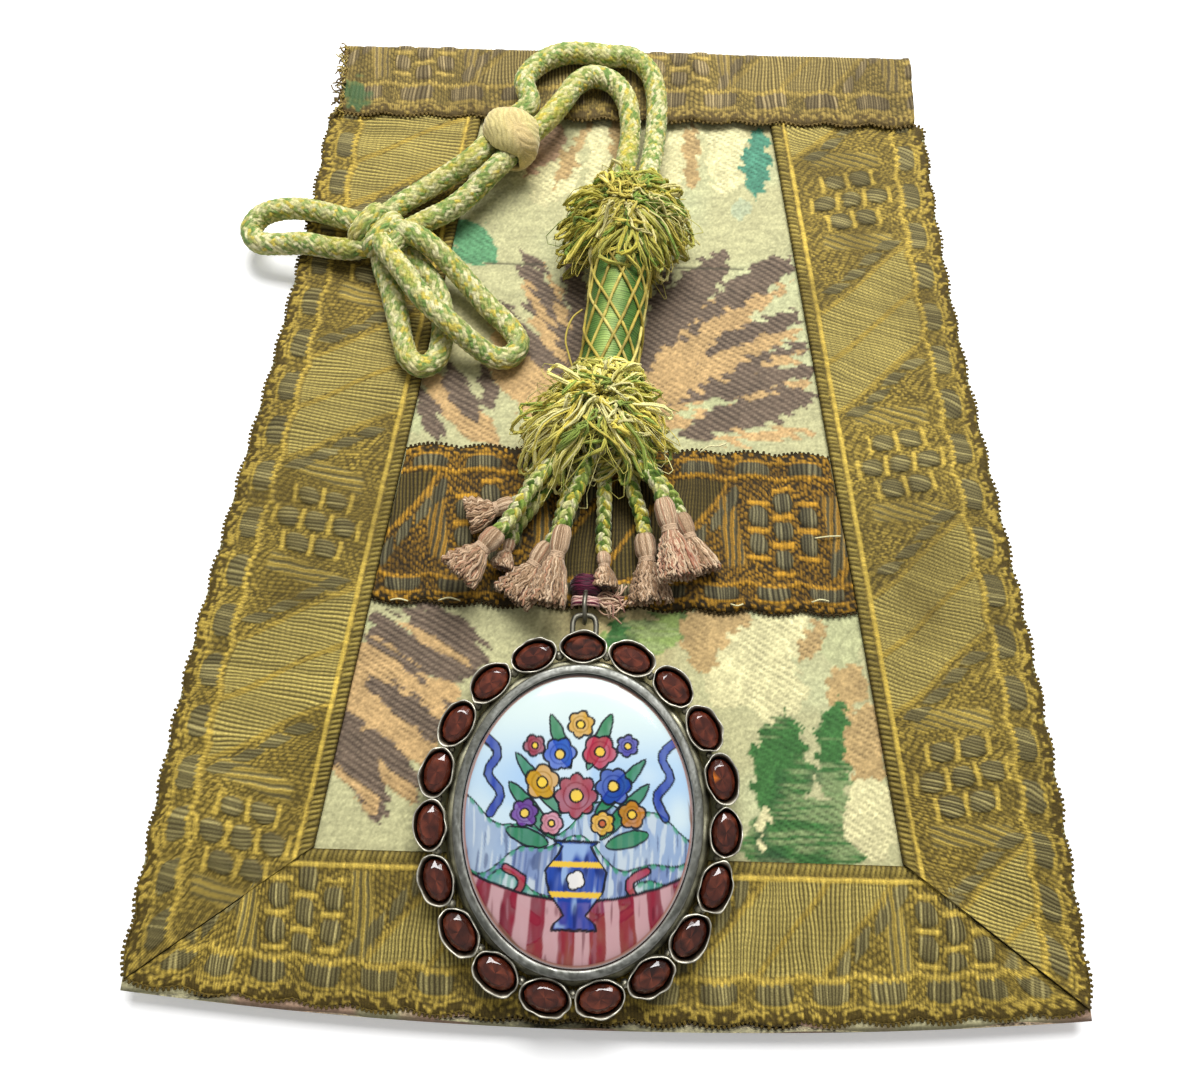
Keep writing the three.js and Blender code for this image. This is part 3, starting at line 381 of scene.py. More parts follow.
def add(owner, kind, sockets=None, **settings):
    """A node of a material or of the world with its settings, its sockets linked or set."""
    made = owner.node_tree.nodes.new("ShaderNode" + kind)
    for key, value in settings.items():
        setattr(made, key, value)
    for key, value in (sockets or {}).items():
        if isinstance(value, bpy.types.NodeSocket):
            owner.node_tree.links.new(value, made.inputs[key])
        else:
            made.inputs[key].default_value = value
    return made


def new_material(name):
    material = bpy.data.materials.new(name)
    material.use_nodes = True
    material.node_tree.nodes.clear()
    return material


def finished(material, sockets):
    """The material with its surface shader of these sockets, joined to its output."""
    shader = add(material, "BsdfPrincipled", sockets)
    add(material, "OutputMaterial", {"Surface": shader.outputs[0]})
    return material


def painted(material, amount, size):
    """The piece's own tint, made lighter and darker by fine noise of a size in mm."""
    place = add(material, "TexCoord").outputs["Object"]
    tint = add(material, "Attribute", attribute_name="tint").outputs["Color"]
    grain = add(material, "TexNoise", {"Vector": place, "Scale": 1 / (size * MM), "Detail": 3.0})
    level = add(material, "MapRange", {"Value": grain.outputs[0], "From Min": 0.3, "From Max": 0.7,
                                       "To Min": 1 - amount, "To Max": 1 + amount})
    colour = add(material, "VectorMath", {0: tint, 1: level.outputs[0]}, operation="MULTIPLY")
    return colour.outputs[0], grain.outputs[0], place


def fibres(name, size, amount, rough, sheen, depth, metal=0.0):
    """Thread or cloth: the painted tint with fine fibre noise in colour and bump, and a sheen."""
    material = new_material(name)
    colour, grain, _ = painted(material, amount, size)
    bump = add(material, "Bump", {"Height": grain, "Distance": depth * MM, "Strength": 0.6})
    return finished(material, {
        "Base Color": colour, "Roughness": rough, "Sheen Weight": sheen, "Sheen Roughness": 0.4,
        "Specular IOR Level": 0.2, "Metallic": metal, "Normal": bump.outputs[0]})


def ribbed_cloth(name, pitch, slant, rough, sheen, depth):
    """Fine woven silk: twill lines of a thread's pitch, drawn by two crossed waves in the bump."""
    material = new_material(name)
    colour, grain, place = painted(material, 0.16, 0.5)
    turned = add(material, "Mapping", {"Vector": place, "Rotation": (0, 0, slant)})
    wave = add(material, "TexWave", {"Vector": turned.outputs[0], "Scale": 1 / (pitch * MM) / 20,
                                     "Distortion": 1.2, "Detail": 2.0, "Detail Scale": 2.0})
    both = add(material, "Math", {0: wave.outputs["Fac"], 1: grain}, operation="ADD")
    bump = add(material, "Bump", {"Height": both.outputs[0], "Distance": depth * MM, "Strength": 0.7})
    return finished(material, {
        "Base Color": colour, "Roughness": rough, "Sheen Weight": sheen, "Sheen Roughness": 0.35,
        "Specular IOR Level": 0.2, "Normal": bump.outputs[0]})


# Galloon: cotton and silk woven with gilt-wrapped thread. Dull gold glints over a matt ground.
GALLOON = fibres("woven_gilt_thread_galloon", 0.22, 0.34, 0.7, 0.0, 0.1, 0.08)
# Brocade: silk satin ground with brocaded floats. A soft lustre along the threads.
BROCADE = ribbed_cloth("brocaded_silk_satin", 0.45, 0.35, 0.7, 0.05, 0.08)
# Braid: soft-spun silk, matt with fine hairs.
BRAID = fibres("braided_soft_silk_cord", 0.3, 0.26, 0.8, 0.15, 0.12)
# Lining: plain cotton tabby, matt.
LINING = ribbed_cloth("plain_cotton_lining", 0.6, 0.0, 0.95, 0.1, 0.08)


# Camera: it stands off the lower half of the panel and looks a little up its length

LENS_PIXELS = 960
PHOTO_WIDTH = 1193
CAMERA_AT = np.array([-2.279, -68.431, 189.801])
CAMERA_ROLL = math.radians(1.66)
CAMERA_TILT = math.atan(0.288)


def make_camera():
    """A camera of the photograph's angle of view, placed, tilted and rolled like it."""
    data = bpy.data.cameras.new("view")
    data.sensor_fit = "HORIZONTAL"
    data.sensor_width = 36
    data.lens = 36 * LENS_PIXELS / PHOTO_WIDTH
    data.clip_start = 0.01
    made = put_in_scene("view", data)
    made.matrix_world = (
        Matrix.Translation(CAMERA_AT * MM)
        @ Matrix.Rotation(CAMERA_ROLL, 4, "Z")
        @ Matrix.Rotation(CAMERA_TILT, 4, "X"))
    bpy.context.scene.camera = made


make_camera()

# Cords

bead_way = np.array([math.cos(BEAD_TURN), math.sin(BEAD_TURN), 0])
bead_side = np.array([bead_way[1], -bead_way[0], 0])


def through_bead(side):
    """The straight stretch of a strand through the bead."""
    run = np.array([-1, -0.5, 0, 0.5, 1])[:, None] * BEAD_RUN
    return (BEAD_AT + side * STRAND_PITCH / 2 * bead_side + run * bead_way).tolist()


OUTER_ROUTE = [
    [4.5, 59.2, 12.9], [5, 63.5, 12.7], [5.6, 69, 11.2], [6.4, 75.5, 9.3], [6.9, 82, 9.1],
    [6.6, 89, 9.1], [4.9, 95, 9.1], [0.8, 98.5, 9.1], [-4.4, 99, 9.1], [-9.8, 99.6, 9.1],
    [-15, 99.2, 9.1], [-20.2, 96, 9.5], [-23, 90.2, 10.6], *through_bead(1),
    [-37.6, 66.4, 9.9], [-43.2, 62.6, 9], [-48.9, 58.2, 9], [-53, 53.4, 9.4], [-53.4, 50.6, 9.8],
]
INNER_ROUTE = [
    [-0.9, 59.2, 12.9], [-0.4, 63.5, 12.7], [0.3, 69, 11.2], [0.9, 75.5, 9.3], [1, 81.5, 9.1],
    [-0.2, 87.3, 9.1], [-3.4, 91.8, 9.1], [-8, 93.1, 9.2], [-11.6, 90.2, 9.8], [-13.8, 85.6, 10.8],
    *through_bead(-1),
    [-33.2, 61.3, 9.9], [-38.4, 57, 9], [-43.6, 54, 8.9], [-48.4, 51, 9.2], [-51, 49.8, 9.6],
]
LOOP_LEFT = [
    [-52, 51.4, 9.8], [-57.4, 53.4, 9.3], [-63, 55.6, 8.4], [-69, 57.2, 8.1], [-75.3, 57.6, 7.3],
    [-79.9, 56.4, 6.3], [-81.7, 53.3, 5.8], [-79.8, 50.2, 6], [-74.6, 49.3, 6.9], [-68.6, 48.8, 8.1],
    [-63, 47.7, 8.4], [-57.4, 47, 9.3], [-52, 48.6, 9.8],
]
LOOP_LOWER_LEFT = [
    [-51.6, 49, 9], [-51.5, 44.4, 8.2], [-49.5, 38.8, 8.1], [-47.2, 31.8, 8.1], [-45.5, 25.6, 8.1],
    [-43.9, 21.9, 8.1], [-41.1, 20.4, 7.8], [-38.5, 22.4, 7.5], [-37.6, 27, 7.3], [-37.9, 33, 7.4],
    [-39.5, 38.4, 8.1], [-43.2, 43.4, 8.1], [-46.9, 46.7, 8.2], [-50.6, 49, 9],
]
LOOP_LOWER_RIGHT = [
    [-51.8, 48.4, 11.6], [-49.5, 44.4, 13.2], [-46.4, 40.2, 13.7], [-42.6, 35.2, 13.7],
    [-38.7, 31, 13.5], [-34.6, 27.6, 12.5], [-30.2, 24.8, 9.6], [-26.2, 23.1, 7.5],
    [-22.9, 23.6, 7.1], [-21.4, 26.5, 7.1], [-23.6, 30.4, 7.1], [-28, 34.6, 7.7],
    [-32.6, 39.4, 9], [-37.2, 43.8, 10.9], [-41.3, 46.8, 12.5], [-45.3, 48.8, 12.9],
    [-50, 50.4, 11.6],
]
BRAID_STRANDS = 14  # in each of its two sets
BRAID_PITCH = 1.3  # along the cord, from one strand of a set to the next
BRAID_STEP = 0.27  # from one ring of the braid's surface to the next
# Strand colours of the braid: undyed and cream silk, two greens, yellow
BRAID_COLOURS = ["c2be80", "d0cb94", "94a05a", "74904a", "c4b450", "aeac66", "d9d3a2", "84944c"]
# Flecks of stray fibre: colour, share, lowest noise that shows, length in mm, seed
BRAID_FLECKS = [("6a8a42", 0.55, 0.25, 0.9, 9), ("d8d098", 0.45, 0.3, 1.1, 12)]


def braid(path, diameter, seed, side=None):
    """A braided tube. Two sets of strands wind opposite ways round it, each passing over two and
    under two. A strand's height is a half circle across it, times a low arch along each float.
    side is one sideways direction for the whole path, for one that stands upright."""
    spacing = length_of(path) / (len(path) - 1)
    sides = max(16, round(math.pi * diameter / spacing))
    run = (np.arange(len(path)) * spacing)[:, None]
    turn = (np.arange(sides) / sides)[None]
    a, b = BRAID_STRANDS * turn + run / BRAID_PITCH, BRAID_STRANDS * turn - run / BRAID_PITCH
    ia, ib = np.floor(a), np.floor(b)
    stage = (ia - ib) % 4
    top = stage < 2
    across = np.where(top, a - ia, b - ib)
    along = np.where(top, (stage + 1 - (b - ib)) / 2, (stage - 2 + (a - ia)) / 2)
    swell = np.sqrt(np.clip(1 - (2 * across - 1) ** 2, 0, 1)) * (0.6 + 0.4 * np.sin(np.pi * along))
    strand = np.where(top, ia % BRAID_STRANDS, BRAID_STRANDS + ib % BRAID_STRANDS)
    float_at = np.where(top, np.floor((ib - ia) / 4), np.floor((ia - ib) / 4))
    lump = 0.35 * diameter / CORD * noise(run / 6 + 0 * turn, np.cos(2 * np.pi * turn) * 1.2 + 7, seed)
    radius = diameter / 2 * (0.86 + 0.15 * swell) + 0.3 * lump
    pick = chance(strand, np.floor(run / 9 + 3 * chance(strand, seed)), float_at % 3, seed)
    shades = shades_of(BRAID_COLOURS)
    tint = shades[np.minimum((pick * len(shades)).astype(int), len(shades) - 1)]
    patchy = noise(run / 14 + 0 * turn, 2 * np.sin(2 * np.pi * turn) + 3, seed + 5)
    tint = over(tint, "b9a93a", 0.5 * step(0.35, 0.8, patchy))
    fibre = noise(across * 5 + strand * 3, along * 1.5 + run / 3, seed + 2)
    for code, share, low, long, key in BRAID_FLECKS:
        fleck = noise(run / long + 0 * turn, sides * turn / 3, seed + key)
        tint = over(tint, code, share * step(low, 0.6, fleck))
    # painted shade: each strand darker towards its edges and the ends of its floats, where it dips between
    # its neighbours
    tint = tint * (0.55 + 0.45 * swell + 0.2 * fibre)[..., None]
    if side is None:
        _, side, up = side_frame(path)
    else:
        way = unit(np.gradient(path, axis=0))
        side = unit(side - (way @ side)[:, None] * way)
        up = np.cross(way, side)
    round_it = 2 * np.pi * turn[0]
    rings = path[:, None] + radius[..., None] * (
        side[:, None] * np.cos(round_it)[:, None] + up[:, None] * np.sin(round_it)[:, None])
    return patch(rings, tint, around=True)


def lay_cord(name, route, seed):
    """A free run of the braided cord, from where it comes out to the knot, in place of its
    solid of the same name."""
    path = line_through(route, BRAID_STEP)
    made = piece(f"braided_{name}", [braid(path, CORD, seed)], BRAID, "panel", stands_for=name)


lay_cord("cord_strand_outer", OUTER_ROUTE, 1)
lay_cord("cord_strand_inner", INNER_ROUTE, 2)
lay_cord("bow_loop_left", LOOP_LEFT, 3)
lay_cord("bow_loop_lower_left", LOOP_LOWER_LEFT, 4)
lay_cord("bow_loop_lower_right", LOOP_LOWER_RIGHT, 5)


# Panel outline


def side_x(y):
    """Half width of the panel: straight from bottom to top, plus a full sine wave of small bow,
    and stepping in under the top flap."""
    share = (y - PANEL_BOTTOM) / PANEL_HEIGHT
    straight = PANEL_BOTTOM_HALF + (PANEL_TOP_HALF - PANEL_BOTTOM_HALF) * share
    wide = straight + SIDE_BOW * np.sin(2 * np.pi * share)
    return wide + (FLAP_HALF - SCALLOP_DEPTH - wide) * step(FLAP_LOW, FLAP_LOW + SHOULDER, y)


def bottom_y(x):
    """Bottom edge: a shallow parabola, lowest in the middle."""
    return PANEL_BOTTOM + BOTTOM_BOW * (x / PANEL_BOTTOM_HALF) ** 2


def inner_x(y):
    """Inner edge of a side galloon: a straight line between its two ends."""
    share = (y + BOTTOM_INNER) / (FLAP_LOW + BOTTOM_INNER)
    return SIDE_INNER_BOTTOM + (SIDE_INNER_TOP - SIDE_INNER_BOTTOM) * share


def galloon_low(x):
    """Outer edge of the bottom galloon, where its scallops come in farthest."""
    return bottom_y(x) + BROCADE_SHOWS + SCALLOP_DEPTH


# Galloon

WEFT = 0.7  # from one weft thread to the next
THICK_LINE = 7.2  # middle of the thick gold line, from the outer edge
THIN_LINE = 3.0
FIELD_EDGE = 3.4  # where the figured field ends, from the inner edge
FAN = 15.6  # along the band, from one fan of the ground's diagonals to the next
ROPE_WIDTH = 2.1  # overcast inner edge
# Colours of each band; gap is the colour of the painted shade in the hollows between its threads
WARM = {"ground": "5e5020", "gold": "c0a548", "float": "908554", "gap": "231a09",
        "ribbon": "bba95c", "edge": "57481b", "rope": "978540"}
DARK = {"ground": "2a200c", "gold": "b98926", "float": "6f684a", "gap": "0b0804",
        "ribbon": "5e5024", "edge": "33270c", "rope": "7a6628"}
WORN = {"ground": "5f5228", "gold": "a8904a", "float": "92815a", "gap": "2a1f0c",
        "ribbon": "9f8c52", "edge": "63522a", "rope": "7f6c38"}
# Dots of a rosette, across and along the band
DOTS = [(-2.9, -5.0), (2.9, -5.0), (-5.9, 0), (0, 0), (5.9, 0), (-2.9, 5.0), (2.9, 5.0)]


def weave(u, c, outer, inner, block, look, inner_block=None):
    """Height in mm and colour of the galloon. u runs along the band and c across it from the
    middle of its field; outer and inner are distances from its edges, and block the place along
    the guard blocks, which a band with two borders has along its inner edge too. Masks of the
    woven figures, each with its own threads, are laid over a twilled ground; every thread is a
    cosine rib of the weft's pitch."""
    shades = {k: linear(v) for k, v in look["shades"].items()}
    seed, lean, repeat, snug = look["seed"], look["lean"], look["repeat"], look["snug"]
    drift = 0.4 * noise(u / 11, c / 9, seed) + 0.16 * noise(u / 2.3, c / 3.1, seed + 1)
    fan = 0.07 * c * np.sin(2 * np.pi * u / FAN)
    t = (u + look["skew"] * c + drift + fan) / WEFT
    rib = 0.5 + 0.5 * np.cos(2 * np.pi * t)
    thread = np.floor(t + 0.5)
    lot = chance(thread, seed)
    # twilled ground of gold specks, its diagonal turning over either side of each rosette
    s = wrap(u - look["rosette"] + look["tip"] * c, repeat)
    hand = np.where(np.sin(2 * np.pi * s / FAN + 0.5 * c) > 0, 1, -1)
    diagonal = (c / 1.45 + 0.31 * thread * hand + 0.3 * noise(u / 0.9, c / 0.7, seed + 2)) % 1
    kept = chance(thread, np.floor(c / 1.1), seed + 9)
    speck = step(0.32, 0.52, diagonal) * (0.35 + 0.65 * kept)
    worn = 0.75 + 0.35 * noise(u / 7, c / 6, seed + 10)
    colour = over(shades["ground"] * (0.7 + 0.6 * lot)[..., None], shades["gold"], 0.85 * speck * worn)
    height, gap_shade = 0.08 * rib + 0.1 * speck, 0.62 + 0 * u

    # each figure sets its colour, its height, and its share of painted shade in the hollows between its ribs
    # (gap)
    def lay(mask, cover, rise, gap):
        nonlocal colour, height, gap_shade
        colour = over(colour, cover, mask)
        height = height * (1 - mask) + rise * mask
        gap_shade = gap_shade * (1 - mask) + gap * mask

    line = THICK_LINE * snug
    field = step(line + 0.6, line + 1.1, outer) * step(look["field"], look["field"] + 0.5, inner)
    thread_shade = shades["float"] * (0.5 + 0.95 * lot ** 2)[..., None]
    gold = shades["gold"] * (0.72 + 0.5 * lot)[..., None]
    frayed = 0.35 * noise(u / 0.7, c / 1.3, seed + 3)
    # fans of long floats between the rosette and the ribbon
    spray = step(-2.2, -1.6, -np.abs(np.abs(s) - 10.6 + 0.16 * c * np.sign(s))) * field
    spray = spray * step(-8, -7, -np.abs(c))
    stripes = step(0.4, 0.6, (t / 2) % 1)
    lay(0.8 * spray, over(thread_shade * 0.7, gold, 0.8 * stripes), 0.06 + 0.14 * stripes, 0.55)
    # diagonal ribbon of two ribbed stripes, with a gold line between them and at each edge
    q = wrap(u - look["rosette"] - repeat / 2 - lean * (c + 0.5 * np.sin(c * np.pi / 9)), repeat)
    stripe = step(0.5, 0.8, abs(q) + frayed) * step(-11.2, -10.8, -abs(q) + frayed)
    warp = 0.5 + 0.5 * np.cos(2 * np.pi * (c + 0.2 * noise(u / 5, c, seed + 11)) / 1.05)
    ribbed = shades["ribbon"] * ((0.8 + 0.4 * lot) * (0.72 + 0.28 * warp))[..., None]
    lay(stripe * field, ribbed, 0.2 * rib, 0.95)
    edges = step(10.8, 11.1, abs(q) + frayed) * step(-12.2, -11.7, -abs(q) + frayed)
    edges = np.maximum(edges, step(-0.75, -0.45, -abs(q) + frayed))
    lay(0.75 * field * edges, gold * 0.92, 0.14 + 0.06 * rib, 0.8)
    # a row of slanting leaves outside each edge of the ribbon
    tilt = math.copysign(math.radians(20), lean)
    for side in (-1, 1):
        for k in range(4):
            dc = c - (k - 1.5) * 4.3
            du = q - side * 14.4 + lean * dc
            a, b = dc * math.cos(tilt) + du * math.sin(tilt), du * math.cos(tilt) - dc * math.sin(tilt)
            lens = 1.35 * (1 - np.abs(a / 3.6) ** 1.6) - np.abs(b)
            lay(step(0, 0.3, lens + 0.6 * frayed) * field, thread_shade * 0.85, 0.2 + 0.12 * rib, 0.8)
    # rosette of seven raised dots, with a gold bar at each side of every dot
    for dc, du in DOTS:
        x, y = c - dc, s - du
        bar = step(-0.5, -0.3, -abs(abs(x) - 2.9 + frayed * 0.4)) * step(-2.4, -1.9, -abs(y)) * field
        lay(bar, gold, 0.22, 0.4)
    for number, (dc, du) in enumerate(DOTS):
        wide, high = 2.5 - 0.4 * chance(number, seed), 2.2 - 0.35 * chance(number, seed + 1)
        x, y = c - dc, s - du + 0.09 * (c - dc)
        inside = 1 - np.abs(x / wide) ** 2.6 - np.abs(y / high) ** 2.6
        dot = step(0, 0.25, inside + 0.5 * frayed) * field
        crown = np.sqrt(np.clip(inside, 0, 1))
        # each dot lighter on its crown and darker towards its edge: painted highlight and shade
        lay(dot, thread_shade * (0.55 + 0.55 * crown)[..., None], 0.05 + 0.45 * crown + 0.15 * rib, 0.9)
    # guard blocks between the two gold lines of the border
    borders = [(outer, block)] if inner_block is None else [(outer, block), (inner, inner_block)]
    for away, ub in borders:
        near = away / snug
        bx = wrap(ub - SCALLOP_PITCH / 2, SCALLOP_PITCH)
        bar_at = (THICK_LINE + THIN_LINE) / 2
        inside = 1 - np.abs(bx / 3.5) ** 3 - np.abs((near - bar_at) / 1.9) ** 4
        guard = step(0, 0.25, inside + 0.5 * frayed)
        # each block darker towards its edge: painted shade
        lay(guard, thread_shade * (0.7 + 0.3 * np.clip(inside, 0, 1))[..., None],
            0.08 + 0.25 * np.sqrt(np.clip(inside, 0, 1)) + 0.15 * rib, 0.9)
        comb = 0.5 * np.where(thread % 2 == 0, 1, -1) * (0.4 + lot)
        thick = step(-0.65, -0.3, -abs(near - THICK_LINE - 0.4 * comb))
        lay(thick, gold, 0.26 + 0.1 * rib, 0.62)
        thin = step(-0.4, -0.2, -abs(near - THIN_LINE + frayed * 0.5)) * step(-4.4, -3.6, -abs(bx))
        lay(thin, gold * 0.9, 0.2 + 0.08 * rib, 0.62)
        hem = step(-2.5, -2.2, -near + 0.5 * frayed)
        tick = step(0.05, 0.5, noise(u / 0.62, near / 0.55, seed + 12) + 0.3 * (near - 1))
        lay(hem, over(shades["edge"] * 0.8, shades["gold"], 0.8 * tick), 0.05 + 0.2 * tick, 0.5)
        height = height - 0.45 * (1 - np.clip(away / 0.9, 0, 1)) ** 2
    if look["rope"]:
        turn = u + 0.3 * inner + 0.3 * noise(u / 3, 0 * u, seed + 4)
        blob = np.abs(np.sin(np.pi * turn)) ** 0.8
        rope = step(-ROPE_WIDTH - 0.1, -ROPE_WIDTH + 0.1, -inner)
        stitch = shades["rope"] * (0.6 + 0.6 * chance(np.floor(turn), seed))[..., None]
        crown = np.sqrt(np.clip(1 - ((inner - ROPE_WIDTH / 2) / (ROPE_WIDTH / 2)) ** 2, 0, 1))
        # the rope dark between its turns and at its sides in the gap colour: painted shade
        lay(rope, over(shades["gap"], stitch, blob * (0.4 + 0.6 * crown)), 0.5 * blob * crown - 0.12, 0.0)
        smooth = step(-0.45, -0.3, -abs(inner - ROPE_WIDTH - 0.65))
        lay(smooth, gold, 0.26, 0.2)
    # painted shade in the hollows between the weft ribs, by each figure's share
    colour = over(colour, shades["gap"], gap_shade * (1 - rib) ** 1.25)
    soil = noise(u / 17, c / 12, seed + 6) + 0.5 * noise(u / 5, c / 4, seed + 7)
    colour = colour * (1 + 0.16 * soil)[..., None]
    colour = over(colour, shades["edge"], 0.35 * step(0.3, 1.3, -soil))
    height = height + 0.25 * noise(u / 15, c / 11, seed + 8)
    return height, colour


def shell(x, y, top, colour, base, u, v):
    """A strip of cloth: its painted face, square down to its base at both long edges, and a flat
    back, all one loop of columns carried along the strip."""
    low = np.full((len(x), 1), base)
    xs = np.hstack([x[:, :1], x, x[:, -1:]])
    ys = np.hstack([y[:, :1], y, y[:, -1:]])
    zs = np.hstack([low, top, low])
    tint = np.concatenate([colour[:, :1], colour, colour[:, -1:]], 1)
    marks = np.stack([np.hstack([u[:, :1], u, u[:, -1:], u[:, :1]]),
                      np.hstack([v[:, :1], v, v[:, -1:], v[:, :1]])], -1)
    return patch(np.stack([xs, ys, zs], -1), tint, around=True, uv=marks)


def picots(edge, out, z, shade, seed):
    """Wire loops along an edge: a point that runs on while it circles, one turn a pitch."""
    spacing, pitch = 0.15, 0.95
    path = line_through(np.column_stack([edge, np.full(len(edge), z)]), spacing)
    way, side, up = side_frame(path)
    side = side * np.sign((side[:, :2] * out).sum(-1, keepdims=True).mean())
    at = np.arange(len(path)) * spacing
    phase = 2 * np.pi * (at + 0.5 * noise(at / 6, 0 * at, seed)) / pitch
    size = 1 + 0.45 * noise(at / 4, 0 * at, seed + 1)
    path = path + side * (0.05 - 0.32 * np.cos(phase) * size)[:, None]
    path = path + way * (0.38 * np.sin(phase))[:, None] + up * (0.15 * np.sin(phase / 2))[:, None]
    lot = 0.7 + 0.6 * chance(np.floor(at / pitch), seed)
    return tubes(path, 0.2, linear(shade) * lot[None, :, None], 4)


ROW_STEP = 0.205  # along a band, from one row of points to the next
COLUMN_STEP = 0.43  # and across it


def columns(width):
    """Shares across a band."""
    return np.linspace(0, 1, round(width / COLUMN_STEP))


def scallops(share, count):
    """How far an edge bulges out: half sine waves, a count of them along the band."""
    return SCALLOP_DEPTH * np.abs(np.sin(np.pi * share * count))


def lay_galloon(name, strip, wires):
    """The woven band in place of its solid, and the wire loops along its edges."""
    piece(f"woven_{name}", [strip], GALLOON, "panel", stands_for=name)
    piece(f"picots_{name}", wires, GALLOON, "panel")


# Where the outer edges of the side and bottom galloons meet, and the way the mitre runs from there
MITRE = np.array([PANEL_BOTTOM_HALF - SCALLOP_DEPTH, 0])
MITRE[1] = galloon_low(MITRE[0])
mitre_way = unit(MITRE - np.array([SIDE_INNER_BOTTOM, -BOTTOM_INNER]))


def side_band(name, hand, look):
    """A side galloon. Its rows run from the mitre at the bottom, where they slant, up to the fold,
    where they lie straight across, each a straight line from the scalloped outer edge to the
    inner one. hand is 1 on the right and -1 on the left."""
    tall = FOLD_Y - MITRE[1]
    rows = round(tall / ROW_STEP)
    s = np.linspace(0, 1, rows)[:, None]
    count = round(math.hypot(side_x(FOLD_Y) - SCALLOP_DEPTH - MITRE[0], tall) / SCALLOP_PITCH)
    y_out = MITRE[1] + tall * s
    bulge = scallops(s, count)
    x_edge = side_x(y_out) - SCALLOP_DEPTH
    x_edge = MITRE[0] + (x_edge - MITRE[0]) * np.minimum(1, s * 12)
    climb = (-BOTTOM_INNER - MITRE[1]) * np.clip(1 - s / 0.28, 0, 1) ** 1.5
    y_in = y_out + climb
    x_in = inner_x(y_in)
    q = columns(33)[None]
    x, y = x_edge + bulge + (x_in - x_edge - bulge) * q, y_out + (y_in - y_out) * q
    lean = math.atan2(SIDE_INNER_BOTTOM - SIDE_INNER_TOP, FLAP_LOW + BOTTOM_INNER) * 0.85
    u = y * math.cos(lean) - x * math.sin(lean)
    outer = (side_x(y) - SCALLOP_DEPTH + bulge - x) * math.cos(lean)
    inner = (x - inner_x(y)) * math.cos(lean)
    block = s * count * SCALLOP_PITCH + 0 * q
    c = hand * (inner - outer + THICK_LINE - FIELD_EDGE) / 2
    height, colour = weave(u, c, outer, inner, block, look)
    from_mitre = (x - SIDE_INNER_BOTTOM) * mitre_way[1] - (y + BOTTOM_INNER) * mitre_way[0]
    ridge = look["ridge"] * np.exp(-np.abs(from_mitre) / 1.8)
    top = GALLOON_TOP + height + ridge
    edge = np.hstack([hand * (x_edge + bulge), y_out])
    wire = picots(edge, (hand, 0), GALLOON_TOP - 0.35, look["shades"]["edge"], look["seed"])
    lay_galloon(name, shell(hand * x, y, top, colour, GALLOON_BASE, u, outer), [wire])


def bottom_band(name, look):
    """The bottom galloon, its rows standing upright and leaning out to the mitres at its ends."""
    shift = GAP * np.array([mitre_way[1], -mitre_way[0]])
    low_x, high_x = MITRE[0] + shift[0], SIDE_INNER_BOTTOM + shift[0]
    rows = round(2 * low_x / ROW_STEP)
    s = np.linspace(-1, 1, rows)[:, None]
    count = round(2 * low_x / SCALLOP_PITCH)
    x_out = low_x * s
    x_in = x_out - np.sign(s) * (low_x - high_x) * np.clip(1 - (1 - abs(s)) / 0.3, 0, 1) ** 1.5
    along = (s + 1) / 2 * count
    bulge = scallops(along, 1)
    y_edge = galloon_low(x_out) - bulge
    y_in = -BOTTOM_INNER + shift[1] + 0 * s
    q = columns(27)[None]
    x, y = x_out + (x_in - x_out) * q, y_edge + (y_in - y_edge) * q
    outer, inner = y - galloon_low(x) + bulge, y_in - y
    c = (outer - inner - THICK_LINE + FIELD_EDGE) / 2
    height, colour = weave(x, c, outer, inner, along * SCALLOP_PITCH + 0 * q, look)
    edge = np.hstack([x_out, y_edge])
    wire = picots(edge, (0, -1), GALLOON_TOP - 0.35, look["shades"]["edge"], 31)
    lay_galloon(name, shell(x, y, GALLOON_TOP + height, colour, GALLOON_BASE, x, outer), [wire])


def middle_band(name, look):
    """The middle galloon, scalloped and bordered on both edges, cut to the side galloons."""
    low, top = MIDDLE_TOP - MIDDLE_WIDTH, MIDDLE_TOP
    half_low, half_top = inner_x(low) - GAP, inner_x(top) - GAP
    counts = [round(2 * h / SCALLOP_PITCH) for h in (half_top, half_low)]
    rows = round(2 * half_low / ROW_STEP)
    s = np.linspace(0, 1, rows)[:, None]
    bulges = [scallops(s, n) for n in counts]
    y_top, y_low = top - SCALLOP_DEPTH + bulges[0], low + SCALLOP_DEPTH - bulges[1]
    q = columns(34)[None]
    y = y_top + (y_low - y_top) * q
    half = half_top + (half_low - half_top) * q
    x = (2 * s - 1) * half
    outer, inner = y_top - y, y - y_low
    blocks = [s * n * SCALLOP_PITCH + 0 * q for n in counts]
    height, colour = weave(x, (inner - outer) / 2, outer, inner, blocks[0], look, blocks[1])
    shade = look["shades"]["edge"]
    wires = [picots(np.hstack([x[:, at], y_edge]), (0, out), GALLOON_TOP - 0.4, shade, seed)
             for at, y_edge, out, seed in (([0], y_top, 1, 41), ([-1], y_low, -1, 42))]
    lay_galloon(name, shell(x, y, GALLOON_TOP + height, colour, GALLOON_BASE, x, outer), wires)


